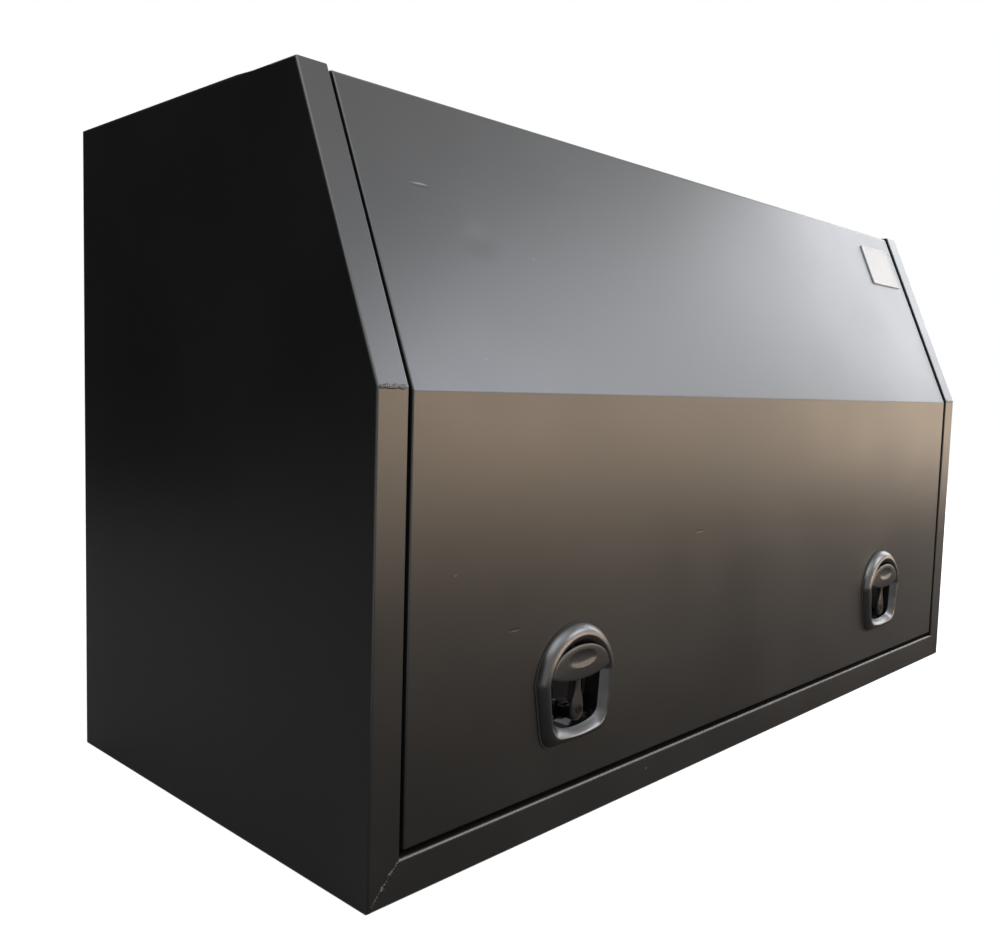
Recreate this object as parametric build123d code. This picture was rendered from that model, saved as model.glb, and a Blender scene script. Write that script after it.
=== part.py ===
"""Folded aluminium tool box: a lid over the front and its slope, folding T-handle latches and gas struts.

Axes: +X to the right, the front looks along -Y, +Z up, the origin in the middle of the base.
"""
import os
from math import atan2, cos, radians, sin, sqrt

from build123d import *

# Box
box_width = 1400.0
box_depth = 600.0
box_height = 800.0
top_depth = 468.5
break_height = 488.5
sheet = 2.5
bend_radius = 3.2
edge_chamfer = 1.3
break_radius = 6.0
overrun = 5.0
tiny = 0.001
span_shares = (0, 0.5, 1)
small_sides = 12
crown_chords = 16
chord_count = 6

# Frame that the lid closes into
stile_width = 38.0
sill_height = 42.0
jamb_depth = 32.0
stop_width = 14.0
hinge_setback = 42.0
seal_width = 12.0
seal_thickness = 2.7
seal_gap = 0.4

# Lid
lid_side_gap = 5.5
lid_foot_gap = 6.0
lid_front_inset = 1.4
lid_slant_inset = 2.4
lid_top_inset = 3.5
lid_edge_chamfer = 1.2
lid_open_angle = 85.0
hat_width = 54.0
hat_height = 28.0
hat_wall = 2.0
hat_flange = 16.0
hat_foot_margin = 14.0
hat_head_margin = 45.0
badge_width = 116.0
badge_height = 77.0
badge_thickness = 2.4
badge_corner = 5.0
badge_side_margin = 19.0
badge_top_margin = 30.0

# Continuous hinge
leaf_thickness = 1.5
leaf_gap = 0.4
leaf_width = 24.0
hinge_end_margin = 12.0
knuckle_radius = 3.5
knuckle_lift = 2.6
knuckle_pairs = 9
knuckle_gap = 0.6
hinge_pin_radius = 1.6
running_clearance = 0.05

# Gas struts
link_reach = 280.0
link_apex = 70.0
lid_stud_depth = 20.0
strut_side_room = 6.0
tube_radius = 10.5
tube_wall = 1.5
tube_end_thickness = 6.0
gland_length = 8.0
rod_radius = 4.0
rod_clearance = 0.3
piston_length = 10.0
piston_clearance = 0.4
piston_stop_gap = 5.7
rod_stub = 38.0
eye_radius = 8.5
eye_thickness = 10.0
shank_width = 10.0
shank_length = 9.0
stud_radius = 4.0
stud_collar_radius = 7.5
stud_collar = 8.0
stud_cap = 2.0
stud_cap_radius = 6.5
stud_end_play = 0.3
bracket_width = 56.0
bracket_rise = 26.0
bracket_wall_height = 46.0
bracket_drop = 20.0

# Latch bezel, measured from the latch's middle on the face of the lid
latch_side_margin = 248.5
latch_height = 164.0
bezel_half_width = 66.0
bezel_top = 67.0
bezel_drop = 66.5
bezel_shoulder = 8.0
bezel_foot_half = 53.0
bezel_corner = 19.0
bezel_shoulder_radius = 30.0
bezel_height = 11.5
ring_side = 21.0
ring_top = 23.0
ring_drop = 9.5
ring_foot = 14.0
ring_corner = 8.0
ring_waist_share = 0.13
ring_waist_height_share = 0.62
crest_outer_share = 0.34
crest_inner_share = 0.46
lip_height = 2.0
pan_wall = 2.0
pan_depth = 19.0
pan_floor_share = 1.15
cutout_clearance = 0.8
gasket_thickness = 1.2
gasket_margin = 2.2
clamp_thickness = 2.5
clamp_share = 0.35

# Latch handle
tail_half_width = 50.0
tail_top = 44.5
tail_low = 5.0
tail_end_low = 12.5
tail_end_high = 17.0
tail_face = 11.3
tail_bevel = 1.0
tail_edge = 1.6
tail_depth = 7.5
tail_face_share = 0.965
tail_under_share = 0.76
scoop_width = 45.0
scoop_height = 13.0
scoop_middle = 25.0
scoop_depth = 1.6
stem_face = 8.0
stem_back = 1.0
stem_neck_half = 6.0
stem_neck_low = 2.0
stem_bulge_half = 11.5
stem_bulge_top = 25.0
stem_bulge_middle = 33.5
stem_edge_chamfer = 1.2
key_plug_radius = 5.5
key_plug_depth = 6.0
key_plug_proud = 0.5
key_plug_drop = 30.0
key_slot_width = 1.4
key_slot_length = 6.5
key_slot_depth = 2.0

# Latch works behind the handle
pivot_drop = 36.0
pivot_depth = 8.0
pivot_pin_radius = 2.5
lug_half_width = 5.0
lug_radius = 6.8
fork_clearance = 0.4
ear_thickness = 4.0
ear_radius = 6.2
hub_radius = 12.0
hub_thickness = 2.8
hub_gap = 0.2
spindle_radius = 7.0
spindle_end_radius = 5.0
spindle_tail = 2.0
cam_stand_off = 4.0
cam_thickness = 4.0
cam_hub_radius = 12.0
cam_tip_radius = 8.0
cam_stop_clearance = 5.0
nut_thickness = 5.0
nut_across_flats = 16.0

# Places that follow from the sizes above
half_width = box_width / 2
inner_half = half_width - sheet
front = -box_depth / 2
rear = box_depth / 2
shoulder_y = rear - top_depth
frame_rear = shoulder_y + hinge_setback
opening_half = half_width - stile_width
stop_half = opening_half - stop_width
stop_depth = jamb_depth - sheet
seal_depth = stop_depth - seal_thickness
return_depth = seal_depth - seal_gap
seal_margin = (stop_width - seal_width) / 2
slant_up = Vector(shoulder_y - front, box_height - break_height).normalized()
slant_in = Vector(slant_up.Y, -slant_up.X)
body_path = [(front, 0), (front, break_height), (shoulder_y, box_height), (frame_rear, box_height)]

lid_half = opening_half - lid_side_gap
lid_foot = sill_height + lid_foot_gap
lid_front = front + lid_front_inset
lid_top = box_height - lid_top_inset
lid_rear = frame_rear - 2 * leaf_thickness - leaf_gap
hinge_y = frame_rear - leaf_thickness - leaf_gap / 2
hinge_z = box_height + knuckle_lift
leaf_half = opening_half - hinge_end_margin
leaf_top = hinge_z - knuckle_radius - knuckle_gap
latch_offset = lid_half - latch_side_margin

strut_plane = stop_half - strut_side_room - tube_radius
stud_reach = eye_thickness / 2 + stud_end_play + stud_collar

cam_face = jamb_depth - lid_front_inset + cam_stand_off
cam_reach = latch_height - pivot_drop - sill_height - stop_width - cam_stop_clearance


def parallel(path, insets):
    """Corner points of the polyline inside a path, each leg moved to its right by its own inset."""
    legs = []
    for start, end, inset in zip(path, path[1:], insets):
        along = (Vector(*end) - Vector(*start)).normalized()
        aside = Vector(along.Y, -along.X) * inset
        legs.append((Vector(*start) + aside, Vector(*end) + aside, along))
    points = [legs[0][0]]
    for (here, _, along), (there, _, onward) in zip(legs, legs[1:]):
        gap = there - here
        reach = (gap.X * onward.Y - gap.Y * onward.X) / (along.X * onward.Y - along.Y * onward.X)
        points.append(here + along * reach)
    points.append(legs[-1][1])
    return [(point.X, point.Y) for point in points]


def inside(path, inset):
    """The polyline that lies one inset inside a path all the way."""
    return parallel(path, [inset] * (len(path) - 1))


def ended(points, foot, back):
    """A run along the box's front with its lower end at a height and its rear end at a depth."""
    return [(points[0][0], foot), *points[1:-1], (back, points[-1][1])]


def bent(points, radius):
    """Line through points with every corner rounded, or sharp where no radius is left."""
    return FilletPolyline(*points, radius=[max(radius, 0)] * (len(points) - 2))


def between(outer, inner):
    """Face between two lines that run side by side."""
    return make_face(Curve() + [outer, inner, Line(outer @ 0, inner @ 0), Line(outer @ 1, inner @ 1)])


def ribbon(path, near, far):
    """Face that follows a path from one depth inside it to another."""
    outer = bent(inside(path, near), break_radius - near)
    return between(outer, bent(inside(path, far), break_radius - far))


def folded(points, turns):
    """Sheet section along points, its wall on their right; a turn is +1 to the right, -1 to the left."""
    outer_bends = [bend_radius if turn > 0 else bend_radius - sheet for turn in turns]
    inner_bends = [bend_radius - sheet if turn > 0 else bend_radius for turn in turns]
    outer = FilletPolyline(*points, radius=outer_bends)
    return between(outer, FilletPolyline(*inside(points, sheet), radius=inner_bends))


def along_x(face, start, end):
    """Solid made by carrying a face drawn in (y, z) along x."""
    return Pos(start, 0, 0) * extrude(Plane.YZ * face, end - start)


def along_y(face, start, end):
    """Solid made by carrying a face drawn in (x, z) along y."""
    return Pos(0, end, 0) * extrude(Plane.XZ * face, end - start)


def block(x_range, y_range, z_range):
    """Box between three pairs of limits."""
    ranges = (x_range, y_range, z_range)
    middle = [(low + high) / 2 for low, high in ranges]
    return Pos(*middle) * Box(*[high - low for low, high in ranges])


def rectangle_between(x_range, y_range):
    """Flat rectangle between two pairs of limits."""
    ranges = (x_range, y_range)
    middle = [(low + high) / 2 for low, high in ranges]
    return Pos(*middle) * Rectangle(*[high - low for low, high in ranges])


def round_bar(radius):
    """Section of a small round bar, in flats that stay inside its circle."""
    return RegularPolygon(radius, small_sides)


def round_hole(radius):
    """Section of a small round hole, in flats that stay outside its circle."""
    return RegularPolygon(radius, small_sides, major_radius=False)


def bar_x(section, start, end, y, z):
    """Bar or hole of one section along x between two places."""
    return along_x(Pos(y, z) * section, start, end)


def chorded(face):
    """The same outline with each of its arcs drawn in chords."""
    edges = face.face().outer_wire().order_edges()
    points = []
    for edge, onward in zip(edges, [*edges[1:], edges[0]]):
        gaps = [min((edge @ share - end).length for end in (onward @ 0, onward @ 1)) for share in (0, 1)]
        arc_chords = crown_chords if edge.length > tail_half_width else chord_count
        count = 1 if edge.geom_type == GeomType.LINE else arc_chords
        shares = [step / count for step in range(count)]
        points += [edge @ (1 - share if gaps[0] < gaps[1] else share) for share in shares]
    return make_face(Polyline(*points, close=True))


def mirrored(solid):
    """The same piece on the other side of the box."""
    return mirror(solid, about=Plane.YZ)


# Box body

def mitre_face(over):
    """Face in (x, z) over or under the sloping joint between the right stile and the sill."""
    steep = sill_height / stile_width
    far = stop_half - overrun
    limit = break_height if over else -overrun
    joint = [(inner_half, sheet * steep), (far, (half_width - far) * steep)]
    return make_face(Polyline(*joint, (far, limit), (inner_half, limit), close=True))


def mitre_cut(over):
    """Solid that trims the stile or the sill to the mitre."""
    return along_y(mitre_face(over), front - overrun, front + jamb_depth + overrun)


def frame_inset(point):
    """How far a point lies inside the outside faces of the box's front, slope and top."""
    slope = (point.Y - front) * slant_in.X + (point.Z - break_height) * slant_in.Y
    return min(point.Y - front, slope, box_height - point.Z)


def runs_along(edge, x):
    """True for an edge that follows the outside of the frame at one x."""
    level = all(abs(abs((edge @ share).X) - x) < tiny for share in span_shares)
    return level and frame_inset(edge @ 0.5) < sheet / 2


def side_panel():
    """Right wall with its folded stile, jamb and stop flange, open under the mitre with the sill."""
    corners = [*body_path[:3], (rear, box_height), (rear, 0)]
    outline = FilletPolyline(*corners, radius=[0, break_radius, break_radius, 0, 0], close=True)
    panel = along_x(make_face(outline), inner_half, half_width)
    panel += along_x(ribbon(body_path, 0, sheet), opening_half, half_width)
    panel += along_x(ribbon(body_path, 0, jamb_depth), opening_half, opening_half + sheet)
    panel += along_x(ribbon(body_path, stop_depth, jamb_depth), stop_half, opening_half + sheet)
    lines = (half_width, opening_half)
    folds = [edge for edge in panel.edges() if any(runs_along(edge, x) for x in lines)]
    return chamfer(folds, edge_chamfer) - mitre_cut(over=False)


def floor_pan():
    """Floor with the sill, its jamb and its stop flange folded up along the front."""
    points = [
        (rear - sheet, 0),
        (front, 0),
        (front, sill_height),
        (front + stop_depth, sill_height),
        (front + stop_depth, sill_height + stop_width),
    ]
    pan = along_x(folded(points, (1, 1, -1)), -inner_half, inner_half)
    trim = mitre_cut(over=True)
    return pan - trim - mirrored(trim)


def top_panel():
    """Top with its front edge folded down beside the hinge and forward into a ledge for the seal."""
    points = [
        (frame_rear - stop_width, box_height - stop_depth),
        (frame_rear, box_height - stop_depth),
        (frame_rear, box_height),
        (rear - sheet, box_height),
    ]
    panel = along_x(folded(points, (-1, 1)), -inner_half, inner_half)
    trim = block(
        (stop_half, half_width),
        (frame_rear - stop_width - overrun, frame_rear),
        (box_height - jamb_depth - overrun, box_height),
    )
    return panel - trim - mirrored(trim)


def back_panel():
    """Flat back between the sides."""
    return block((-inner_half, inner_half), (rear - sheet, rear), (0, box_height))


def door_seal():
    """Flattened rubber strip all round the stop flanges."""
    outer = opening_half - seal_margin
    inner = outer - seal_width
    foot = sill_height + seal_margin
    back = frame_rear - seal_margin
    near = bent(ended(inside(body_path, seal_depth), foot, back), 0)
    far = bent(ended(inside(body_path, stop_depth), foot, back), 0)
    side = along_x(between(near, far), inner, outer)
    sill_run = block((-outer, outer), (front + seal_depth, front + stop_depth), (foot, foot + seal_width))
    top_heights = (box_height - stop_depth, box_height - seal_depth)
    top_run = block((-outer, outer), (back - seal_width, back), top_heights)
    return side + mirrored(side) + sill_run + top_run


# Lid

lid_path = ended(parallel(body_path, [lid_front_inset, lid_slant_inset, lid_top_inset]), lid_foot, lid_rear)


def lid_fold(edge):
    """True for an edge on two of the lid's outside faces."""
    places = [edge @ share for share in span_shares]
    tests = (
        lambda place: abs(abs(place.X) - lid_half) < tiny,
        lambda place: abs(place.Z - lid_foot) < tiny,
        lambda place: abs(place.Y - lid_rear) < tiny,
        lambda place: frame_inset(place) < lid_top_inset + tiny,
    )
    return sum(all(test(place) for place in places) for test in tests) > 1


def lid_skin():
    """Lid over the front, the slope and a strip of the top, with returned edges and two latch cut-outs."""
    skin = along_x(ribbon(lid_path, 0, sheet), -lid_half, lid_half)
    inner = ended(inside(body_path, return_depth), lid_foot, lid_rear)
    side = along_x(between(bent(lid_path, break_radius), bent(inner, 0)), lid_half - sheet, lid_half)
    skin += side + mirrored(side)
    skin += block((-lid_half, lid_half), (lid_front, front + return_depth), (lid_foot, lid_foot + sheet))
    skin += block((-lid_half, lid_half), (lid_rear - sheet, lid_rear), (box_height - return_depth, lid_top))
    skin = chamfer([edge for edge in skin.edges() if lid_fold(edge)], lid_edge_chamfer)
    hole = prism(bezel_outline(1, pan_wall + cutout_clearance), -overrun, overrun + sheet)
    for side_sign in (-1, 1):
        skin -= latch_place(side_sign) * hole
    return skin


def lid_hat(middle):
    """Hat channel inside the lid that follows its front and slope."""
    inner = inside(lid_path, sheet)
    head = Vector(*inner[2]) - slant_up * hat_head_margin
    path = [(inner[0][0], lid_foot + sheet + hat_foot_margin), inner[1], (head.X, head.Y)]
    half = hat_width / 2
    hat = along_x(ribbon(path, hat_height - hat_wall, hat_height), middle - half, middle + half)
    for side_sign in (-1, 1):
        edge = middle + side_sign * half
        hat += along_x(ribbon(path, 0, hat_height), edge - side_sign * hat_wall, edge)
        hat += along_x(ribbon(path, 0, hat_wall), edge, edge + side_sign * hat_flange)
    return hat


def badge_plate():
    """Bare plate on the slope, near its upper right corner."""
    drop = badge_top_margin + badge_height / 2
    middle = Vector(*lid_path[2]) - slant_up * drop
    seat = Plane(
        origin=(lid_half - badge_side_margin - badge_width / 2, middle.X, middle.Y),
        x_dir=(1, 0, 0),
        z_dir=(0, -slant_in.X, -slant_in.Y),
    )
    plate = extrude(RectangleRounded(badge_width, badge_height, badge_corner), badge_thickness)
    return seat * plate


# Continuous hinge

def hinge_leaf(y_range, first):
    """Leaf of the continuous hinge with every other knuckle of its barrel."""
    leaf = block((-leaf_half, leaf_half), y_range, (leaf_top - leaf_width, leaf_top))
    axis = Pos(hinge_y, hinge_z)
    curl = axis * round_bar(knuckle_radius) + rectangle_between(y_range, (leaf_top, hinge_z))
    curl -= axis * round_hole(hinge_pin_radius + running_clearance)
    pitch = leaf_half / knuckle_pairs
    for index in range(first, 2 * knuckle_pairs, 2):
        start = -leaf_half + index * pitch + knuckle_gap / 2
        leaf += along_x(curl, start, start + pitch - knuckle_gap)
    return leaf


def hinge_pin():
    """Rod through every knuckle."""
    return bar_x(round_bar(hinge_pin_radius), -leaf_half, leaf_half, hinge_y, hinge_z)


# Gas struts

def strut_ends():
    """Places in (y, z) of the body stud and the lid stud, both one reach from the hinge."""
    axis = Vector(hinge_y, hinge_z)
    foot, knee, head = [Vector(*point) for point in inside(body_path, lid_stud_depth)[:3]]
    start, end = (head, knee) if (knee - axis).length > link_reach else (knee, foot)
    base = start - axis
    down = (end - start).normalized()
    dot = base.X * down.X + base.Y * down.Y
    along = sqrt(dot**2 - base.X**2 - base.Y**2 + link_reach**2) - dot
    lid_arm = base + down * along
    bearing = atan2(lid_arm.Y, lid_arm.X) + radians(link_apex)
    body_arm = Vector(cos(bearing), sin(bearing)) * link_reach
    return axis + body_arm, axis + lid_arm


body_stud_at, lid_stud_at = strut_ends()
strut_closed = (lid_stud_at - body_stud_at).length
strut_line = (lid_stud_at - body_stud_at).normalized()
strut_open = 2 * link_reach * sin(radians(link_apex + lid_open_angle) / 2)
tube_start = eye_radius + shank_length
tube_mouth = strut_closed - rod_stub
piston_rest = strut_closed + tube_mouth - strut_open - gland_length - piston_length - piston_stop_gap


def on_strut(solid):
    """Places a piece that is drawn along +Z from the body stud."""
    seat = Plane(
        origin=(strut_plane, body_stud_at.X, body_stud_at.Y),
        x_dir=(1, 0, 0),
        z_dir=(0, strut_line.X, strut_line.Y),
    )
    return seat * solid


def turned(points):
    """Solid of revolution about +Z from (radius, height) corners."""
    return revolve(Plane.XZ * make_face(Polyline(*points, close=True)), Axis.Z)


def strut_tube():
    """Closed pressure tube with a guide for the rod at its mouth."""
    bore = tube_radius - tube_wall
    guide = rod_radius + rod_clearance
    return on_strut(turned([
        (0, tube_start),
        (tube_radius, tube_start),
        (tube_radius, tube_mouth),
        (guide, tube_mouth),
        (guide, tube_mouth - gland_length),
        (bore, tube_mouth - gland_length),
        (bore, tube_start + tube_end_thickness),
        (0, tube_start + tube_end_thickness),
    ]))


def strut_rod():
    """Piston rod with its piston."""
    piston = tube_radius - tube_wall - piston_clearance
    return on_strut(turned([
        (0, piston_rest),
        (piston, piston_rest),
        (piston, piston_rest + piston_length),
        (rod_radius, piston_rest + piston_length),
        (rod_radius, strut_closed - tube_start),
        (0, strut_closed - tube_start),
    ]))


def strut_eye(place, direction):
    """Eye at one end of a strut with the shank that joins it to the tube or the rod."""
    half = eye_thickness / 2
    eye = bar_x(round_bar(eye_radius), -half, half, 0, place)
    eye += Pos(0, 0, place + direction * tube_start / 2) * Box(eye_thickness, shank_width, tube_start)
    return on_strut(eye - bar_x(round_hole(stud_radius + running_clearance), -half, half, 0, place))


def strut_stud(place, seat_sign):
    """Stud that carries an eye: a hexagon on its seat, a journal and a cap."""
    seat = strut_plane + seat_sign * stud_reach
    shoulder = strut_plane + seat_sign * (eye_thickness / 2 + stud_end_play)
    tip = strut_plane - seat_sign * (eye_thickness / 2 + stud_end_play)
    stud = bar_x(RegularPolygon(stud_collar_radius, 6), seat, shoulder, place.X, place.Y)
    stud += bar_x(round_bar(stud_radius), shoulder, tip, place.X, place.Y)
    return stud + bar_x(round_bar(stud_cap_radius), tip, tip - seat_sign * stud_cap, place.X, place.Y)


def strut_bracket():
    """Folded bracket on the right wall that carries the body stud."""
    face = strut_plane + stud_reach
    shelf = body_stud_at.Y + bracket_rise
    points = [
        (face, body_stud_at.Y - bracket_drop),
        (face, shelf),
        (inner_half - sheet, shelf),
        (inner_half - sheet, shelf + bracket_wall_height),
    ]
    half = bracket_width / 2
    return along_y(folded(points, (1, -1)), body_stud_at.X - half, body_stud_at.X + half)


# Latches, drawn in (x, z) from the middle of the latch, with y counted inward from the face of the lid

def latch_place(side_sign):
    """Where a latch sits on the lid."""
    return Pos(side_sign * latch_offset, lid_front, latch_height)


def prism(face, start, end):
    """Solid between two depths behind the face of the lid."""
    return along_y(face, start, end)


def bezel_outline(share, grow=0):
    """Outline of the bezel, drawn in by a share of the ring's width and grown by a wall."""
    half = bezel_half_width - ring_side * share + grow
    top = bezel_top - ring_top * share + grow
    low = -bezel_drop + ring_drop * share - grow
    foot = bezel_foot_half - ring_foot * share + grow
    crown = ThreePointArc((-half, bezel_shoulder), (0, top), (half, bezel_shoulder))
    sides = Polyline((half, bezel_shoulder), (foot, low), (-foot, low), (-half, bezel_shoulder))
    face = make_face(Curve() + [crown, sides])
    corners = face.vertices().group_by(Axis.Y)
    face = fillet(corners[0], bezel_corner - ring_corner * share + grow)
    shoulders = [corner for corner in face.vertices() if abs(corner.Y - bezel_shoulder) < tiny]
    return chorded(fillet(shoulders, bezel_shoulder_radius - ring_side * share))


def at_depth(face, depth):
    """A latch outline laid at a depth behind the face of the lid."""
    return Pos(0, depth, 0) * (Plane.XZ * face)


def stack(sections):
    """Ruled solid through outlines at their depths, listed from the front to the back."""
    return loft([at_depth(face, depth) for face, depth in reversed(sections)], ruled=True)


def bezel_pan():
    """Raised ring, funnel and pan in one pressing, with the hole for the spindle."""
    seat = -gasket_thickness
    floor_back = pan_depth + pan_wall
    ring = stack([
        (bezel_outline(0), seat),
        (bezel_outline(ring_waist_share), -bezel_height * ring_waist_height_share),
        (bezel_outline(crest_outer_share), -bezel_height),
    ])
    tub = stack([
        (bezel_outline(1, pan_wall), -lip_height),
        (bezel_outline(pan_floor_share, pan_wall), floor_back),
    ])
    funnel = stack([
        (bezel_outline(crest_inner_share), -bezel_height),
        (bezel_outline(1), -lip_height),
        (bezel_outline(pan_floor_share), pan_depth),
    ])
    bore = Pos(0, -pivot_drop) * round_hole(spindle_radius + running_clearance)
    return ring + tub - funnel - prism(bore, 0, floor_back + overrun)


def latch_gasket():
    """Rubber sheet under the bezel's rim."""
    ring = bezel_outline(0, gasket_margin) - bezel_outline(1, pan_wall + cutout_clearance)
    return prism(ring, -gasket_thickness, 0)


def latch_clamp():
    """Plate behind the lid that the bezel is drawn against."""
    ring = bezel_outline(clamp_share) - bezel_outline(1, pan_wall + cutout_clearance)
    return prism(ring, sheet, sheet + clamp_thickness)


def tail_outline(share):
    """Outline of the handle's broad end, drawn in towards its middle by a share."""
    middle = (tail_top + tail_low) / 2
    half, top, low, end_low, end_high = [
        share * size for size in (
            tail_half_width,
            tail_top - middle,
            tail_low - middle,
            tail_end_low - middle,
            tail_end_high - middle,
        )
    ]
    edge = Curve() + [
        ThreePointArc((-half, end_high), (0, top), (half, end_high)),
        Line((half, end_high), (half, end_low)),
        ThreePointArc((half, end_low), (0, low), (-half, end_low)),
        Line((-half, end_low), (-half, end_high)),
    ]
    return Pos(0, middle) * chorded(make_face(edge))


def stem_outline():
    """Outline of the handle's stem: a narrow neck that swells over the pivot."""
    top = (tail_top + tail_low) / 2
    right = [
        (stem_neck_half, top),
        (stem_neck_half, -stem_neck_low),
        (stem_bulge_half, -stem_bulge_top),
        (stem_bulge_half, -stem_bulge_middle),
    ]
    left = [(-x, z) for x, z in reversed(right)]
    round_end = ThreePointArc(right[-1], (0, -stem_bulge_middle - stem_bulge_half), left[0])
    return chorded(make_face(Curve() + [Polyline(*right), round_end, Polyline(*left, right[0])]))


def latch_handle():
    """Broad tail, stem and pivot lug in one casting."""
    bevel_depth = -tail_face + tail_bevel
    tail = stack([
        (tail_outline(tail_face_share), -tail_face),
        (tail_outline(1), bevel_depth),
        (tail_outline(1), bevel_depth + tail_edge),
        (tail_outline(tail_under_share), -tail_face + tail_depth),
    ])
    scoop = Pos(0, scoop_middle) * chorded(SlotOverall(scoop_width, scoop_height))
    tail -= prism(scoop, -tail_face - overrun, -tail_face + scoop_depth)
    stem = prism(stem_outline(), -stem_face, stem_back)
    rim = stem.faces().sort_by(Axis.Y)[0].edges()
    stem = chamfer([edge for edge in rim if (edge @ 0.5).Z < tail_low], stem_edge_chamfer)
    lug = bar_x(round_bar(lug_radius), -lug_half_width, lug_half_width, pivot_depth, -pivot_drop)
    lug_heights = (-pivot_drop - lug_radius, -pivot_drop + lug_radius)
    lug += block((-lug_half_width, lug_half_width), (0, pivot_depth), lug_heights)
    handle = tail + stem + lug
    hole = round_hole(pivot_pin_radius + running_clearance)
    handle -= bar_x(hole, -stem_bulge_half, stem_bulge_half, pivot_depth, -pivot_drop)
    socket = Pos(0, -key_plug_drop) * round_hole(key_plug_radius + running_clearance)
    return handle - prism(socket, -stem_face - overrun, -stem_face + key_plug_depth)


def key_plug():
    """Lock plug in the stem with a slot for the key."""
    face = -stem_face - key_plug_proud
    centre = Pos(0, -key_plug_drop)
    plug = prism(centre * round_bar(key_plug_radius), face, -stem_face + key_plug_depth)
    slot = centre * Rectangle(key_slot_width, key_slot_length)
    return plug - prism(slot, face - overrun, face + key_slot_depth)


def latch_spindle():
    """Fork that carries the handle, on a shaft through the pan's floor."""
    root = pan_depth - hub_gap
    hub_face = root - hub_thickness
    centre = Pos(0, -pivot_drop)
    spindle = prism(centre * round_bar(hub_radius), hub_face, root)
    spindle += prism(centre * round_bar(spindle_radius), root, cam_face)
    end = cam_face + cam_thickness + nut_thickness + spindle_tail
    spindle += prism(centre * round_bar(spindle_end_radius), cam_face, end)
    for side_sign in (-1, 1):
        inner = side_sign * (lug_half_width + fork_clearance)
        outer = inner + side_sign * ear_thickness
        ear = bar_x(round_bar(ear_radius), inner, outer, pivot_depth, -pivot_drop)
        x_range = sorted((inner, outer))
        ear += block(x_range, (pivot_depth, hub_face), (-pivot_drop - ear_radius, -pivot_drop + ear_radius))
        spindle += ear
    reach = lug_half_width + fork_clearance + ear_thickness
    hole = round_hole(pivot_pin_radius + running_clearance)
    return spindle - bar_x(hole, -reach, reach, pivot_depth, -pivot_drop)


def pivot_pin():
    """Cross pin that the handle lifts about."""
    reach = lug_half_width + fork_clearance + ear_thickness
    return bar_x(round_bar(pivot_pin_radius), -reach, reach, pivot_depth, -pivot_drop)


def latch_cam():
    """Arm on the spindle behind the stop flange, pointing down at the sill and short of it."""
    tip = Pos(0, -pivot_drop - cam_reach + cam_tip_radius)
    hub = Pos(0, -pivot_drop)
    arm = make_hull((hub * round_bar(cam_hub_radius) + tip * round_bar(cam_tip_radius)).edges())
    return prism(arm - hub * round_bar(spindle_end_radius), cam_face, cam_face + cam_thickness)


def cam_nut():
    """Nut that holds the cam on the spindle."""
    start = cam_face + cam_thickness
    hexagon = Pos(0, -pivot_drop) * RegularPolygon(nut_across_flats / 2, 6, major_radius=False)
    bore = Pos(0, -pivot_drop) * round_bar(spindle_end_radius)
    return prism(hexagon - bore, start, start + nut_thickness)


# Every piece by name

hat_middle = strut_plane - stud_reach - hat_width / 2
right_side = side_panel()
right_bracket = strut_bracket()
right_strut = {
    "body_stud": strut_stud(body_stud_at, 1),
    "lid_stud": strut_stud(lid_stud_at, -1),
    "tube": strut_tube(),
    "tube_eye": strut_eye(0, 1),
    "rod": strut_rod(),
    "rod_eye": strut_eye(strut_closed, -1),
}
latch = {
    "bezel_pan": bezel_pan(),
    "gasket": latch_gasket(),
    "clamp": latch_clamp(),
    "handle": latch_handle(),
    "key_plug": key_plug(),
    "spindle": latch_spindle(),
    "pivot_pin": pivot_pin(),
    "cam": latch_cam(),
    "cam_nut": cam_nut(),
}

pieces = {
    "left_side_panel": mirrored(right_side),
    "right_side_panel": right_side,
    "floor_pan": floor_pan(),
    "top_panel": top_panel(),
    "back_panel": back_panel(),
    "door_seal": door_seal(),
    "lid_skin": lid_skin(),
    "lid_hat_left": lid_hat(-hat_middle),
    "lid_hat_centre": lid_hat(0),
    "lid_hat_right": lid_hat(hat_middle),
    "badge_plate": badge_plate(),
    "hinge_leaf_body": hinge_leaf((hinge_y + leaf_gap / 2, frame_rear), 0),
    "hinge_leaf_lid": hinge_leaf((lid_rear, hinge_y - leaf_gap / 2), 1),
    "hinge_pin": hinge_pin(),
    "left_strut_bracket": mirrored(right_bracket),
    "right_strut_bracket": right_bracket,
}
for piece_name, piece in right_strut.items():
    pieces[f"right_strut_{piece_name}"] = piece
    pieces[f"left_strut_{piece_name}"] = mirrored(piece)
for latch_name, latch_sign in (("left", -1), ("right", 1)):
    for piece_name, piece in latch.items():
        pieces[f"{latch_name}_latch_{piece_name}"] = latch_place(latch_sign) * piece

os.makedirs("parts", exist_ok=True)
for piece_name, piece in pieces.items():
    piece.label = piece_name
    export_step(piece, f"parts/{piece_name}.step")
print(f"{len(pieces)} pieces")
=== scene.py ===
"""Dressed scene of a black folded-sheet tool box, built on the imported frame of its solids.

The solids give every place.  Each class below is one sub-assembly: it holds its sizes in metres, works out
finer surfaces with numpy (a function of two parameters on a grid, or a profile carried along a path) and
gives each one its finish.  Across the box is x, the front faces -y, up is z.
"""

import logging
import math
from collections.abc import Sequence
from dataclasses import dataclass
from enum import Enum
from typing import ClassVar

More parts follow.
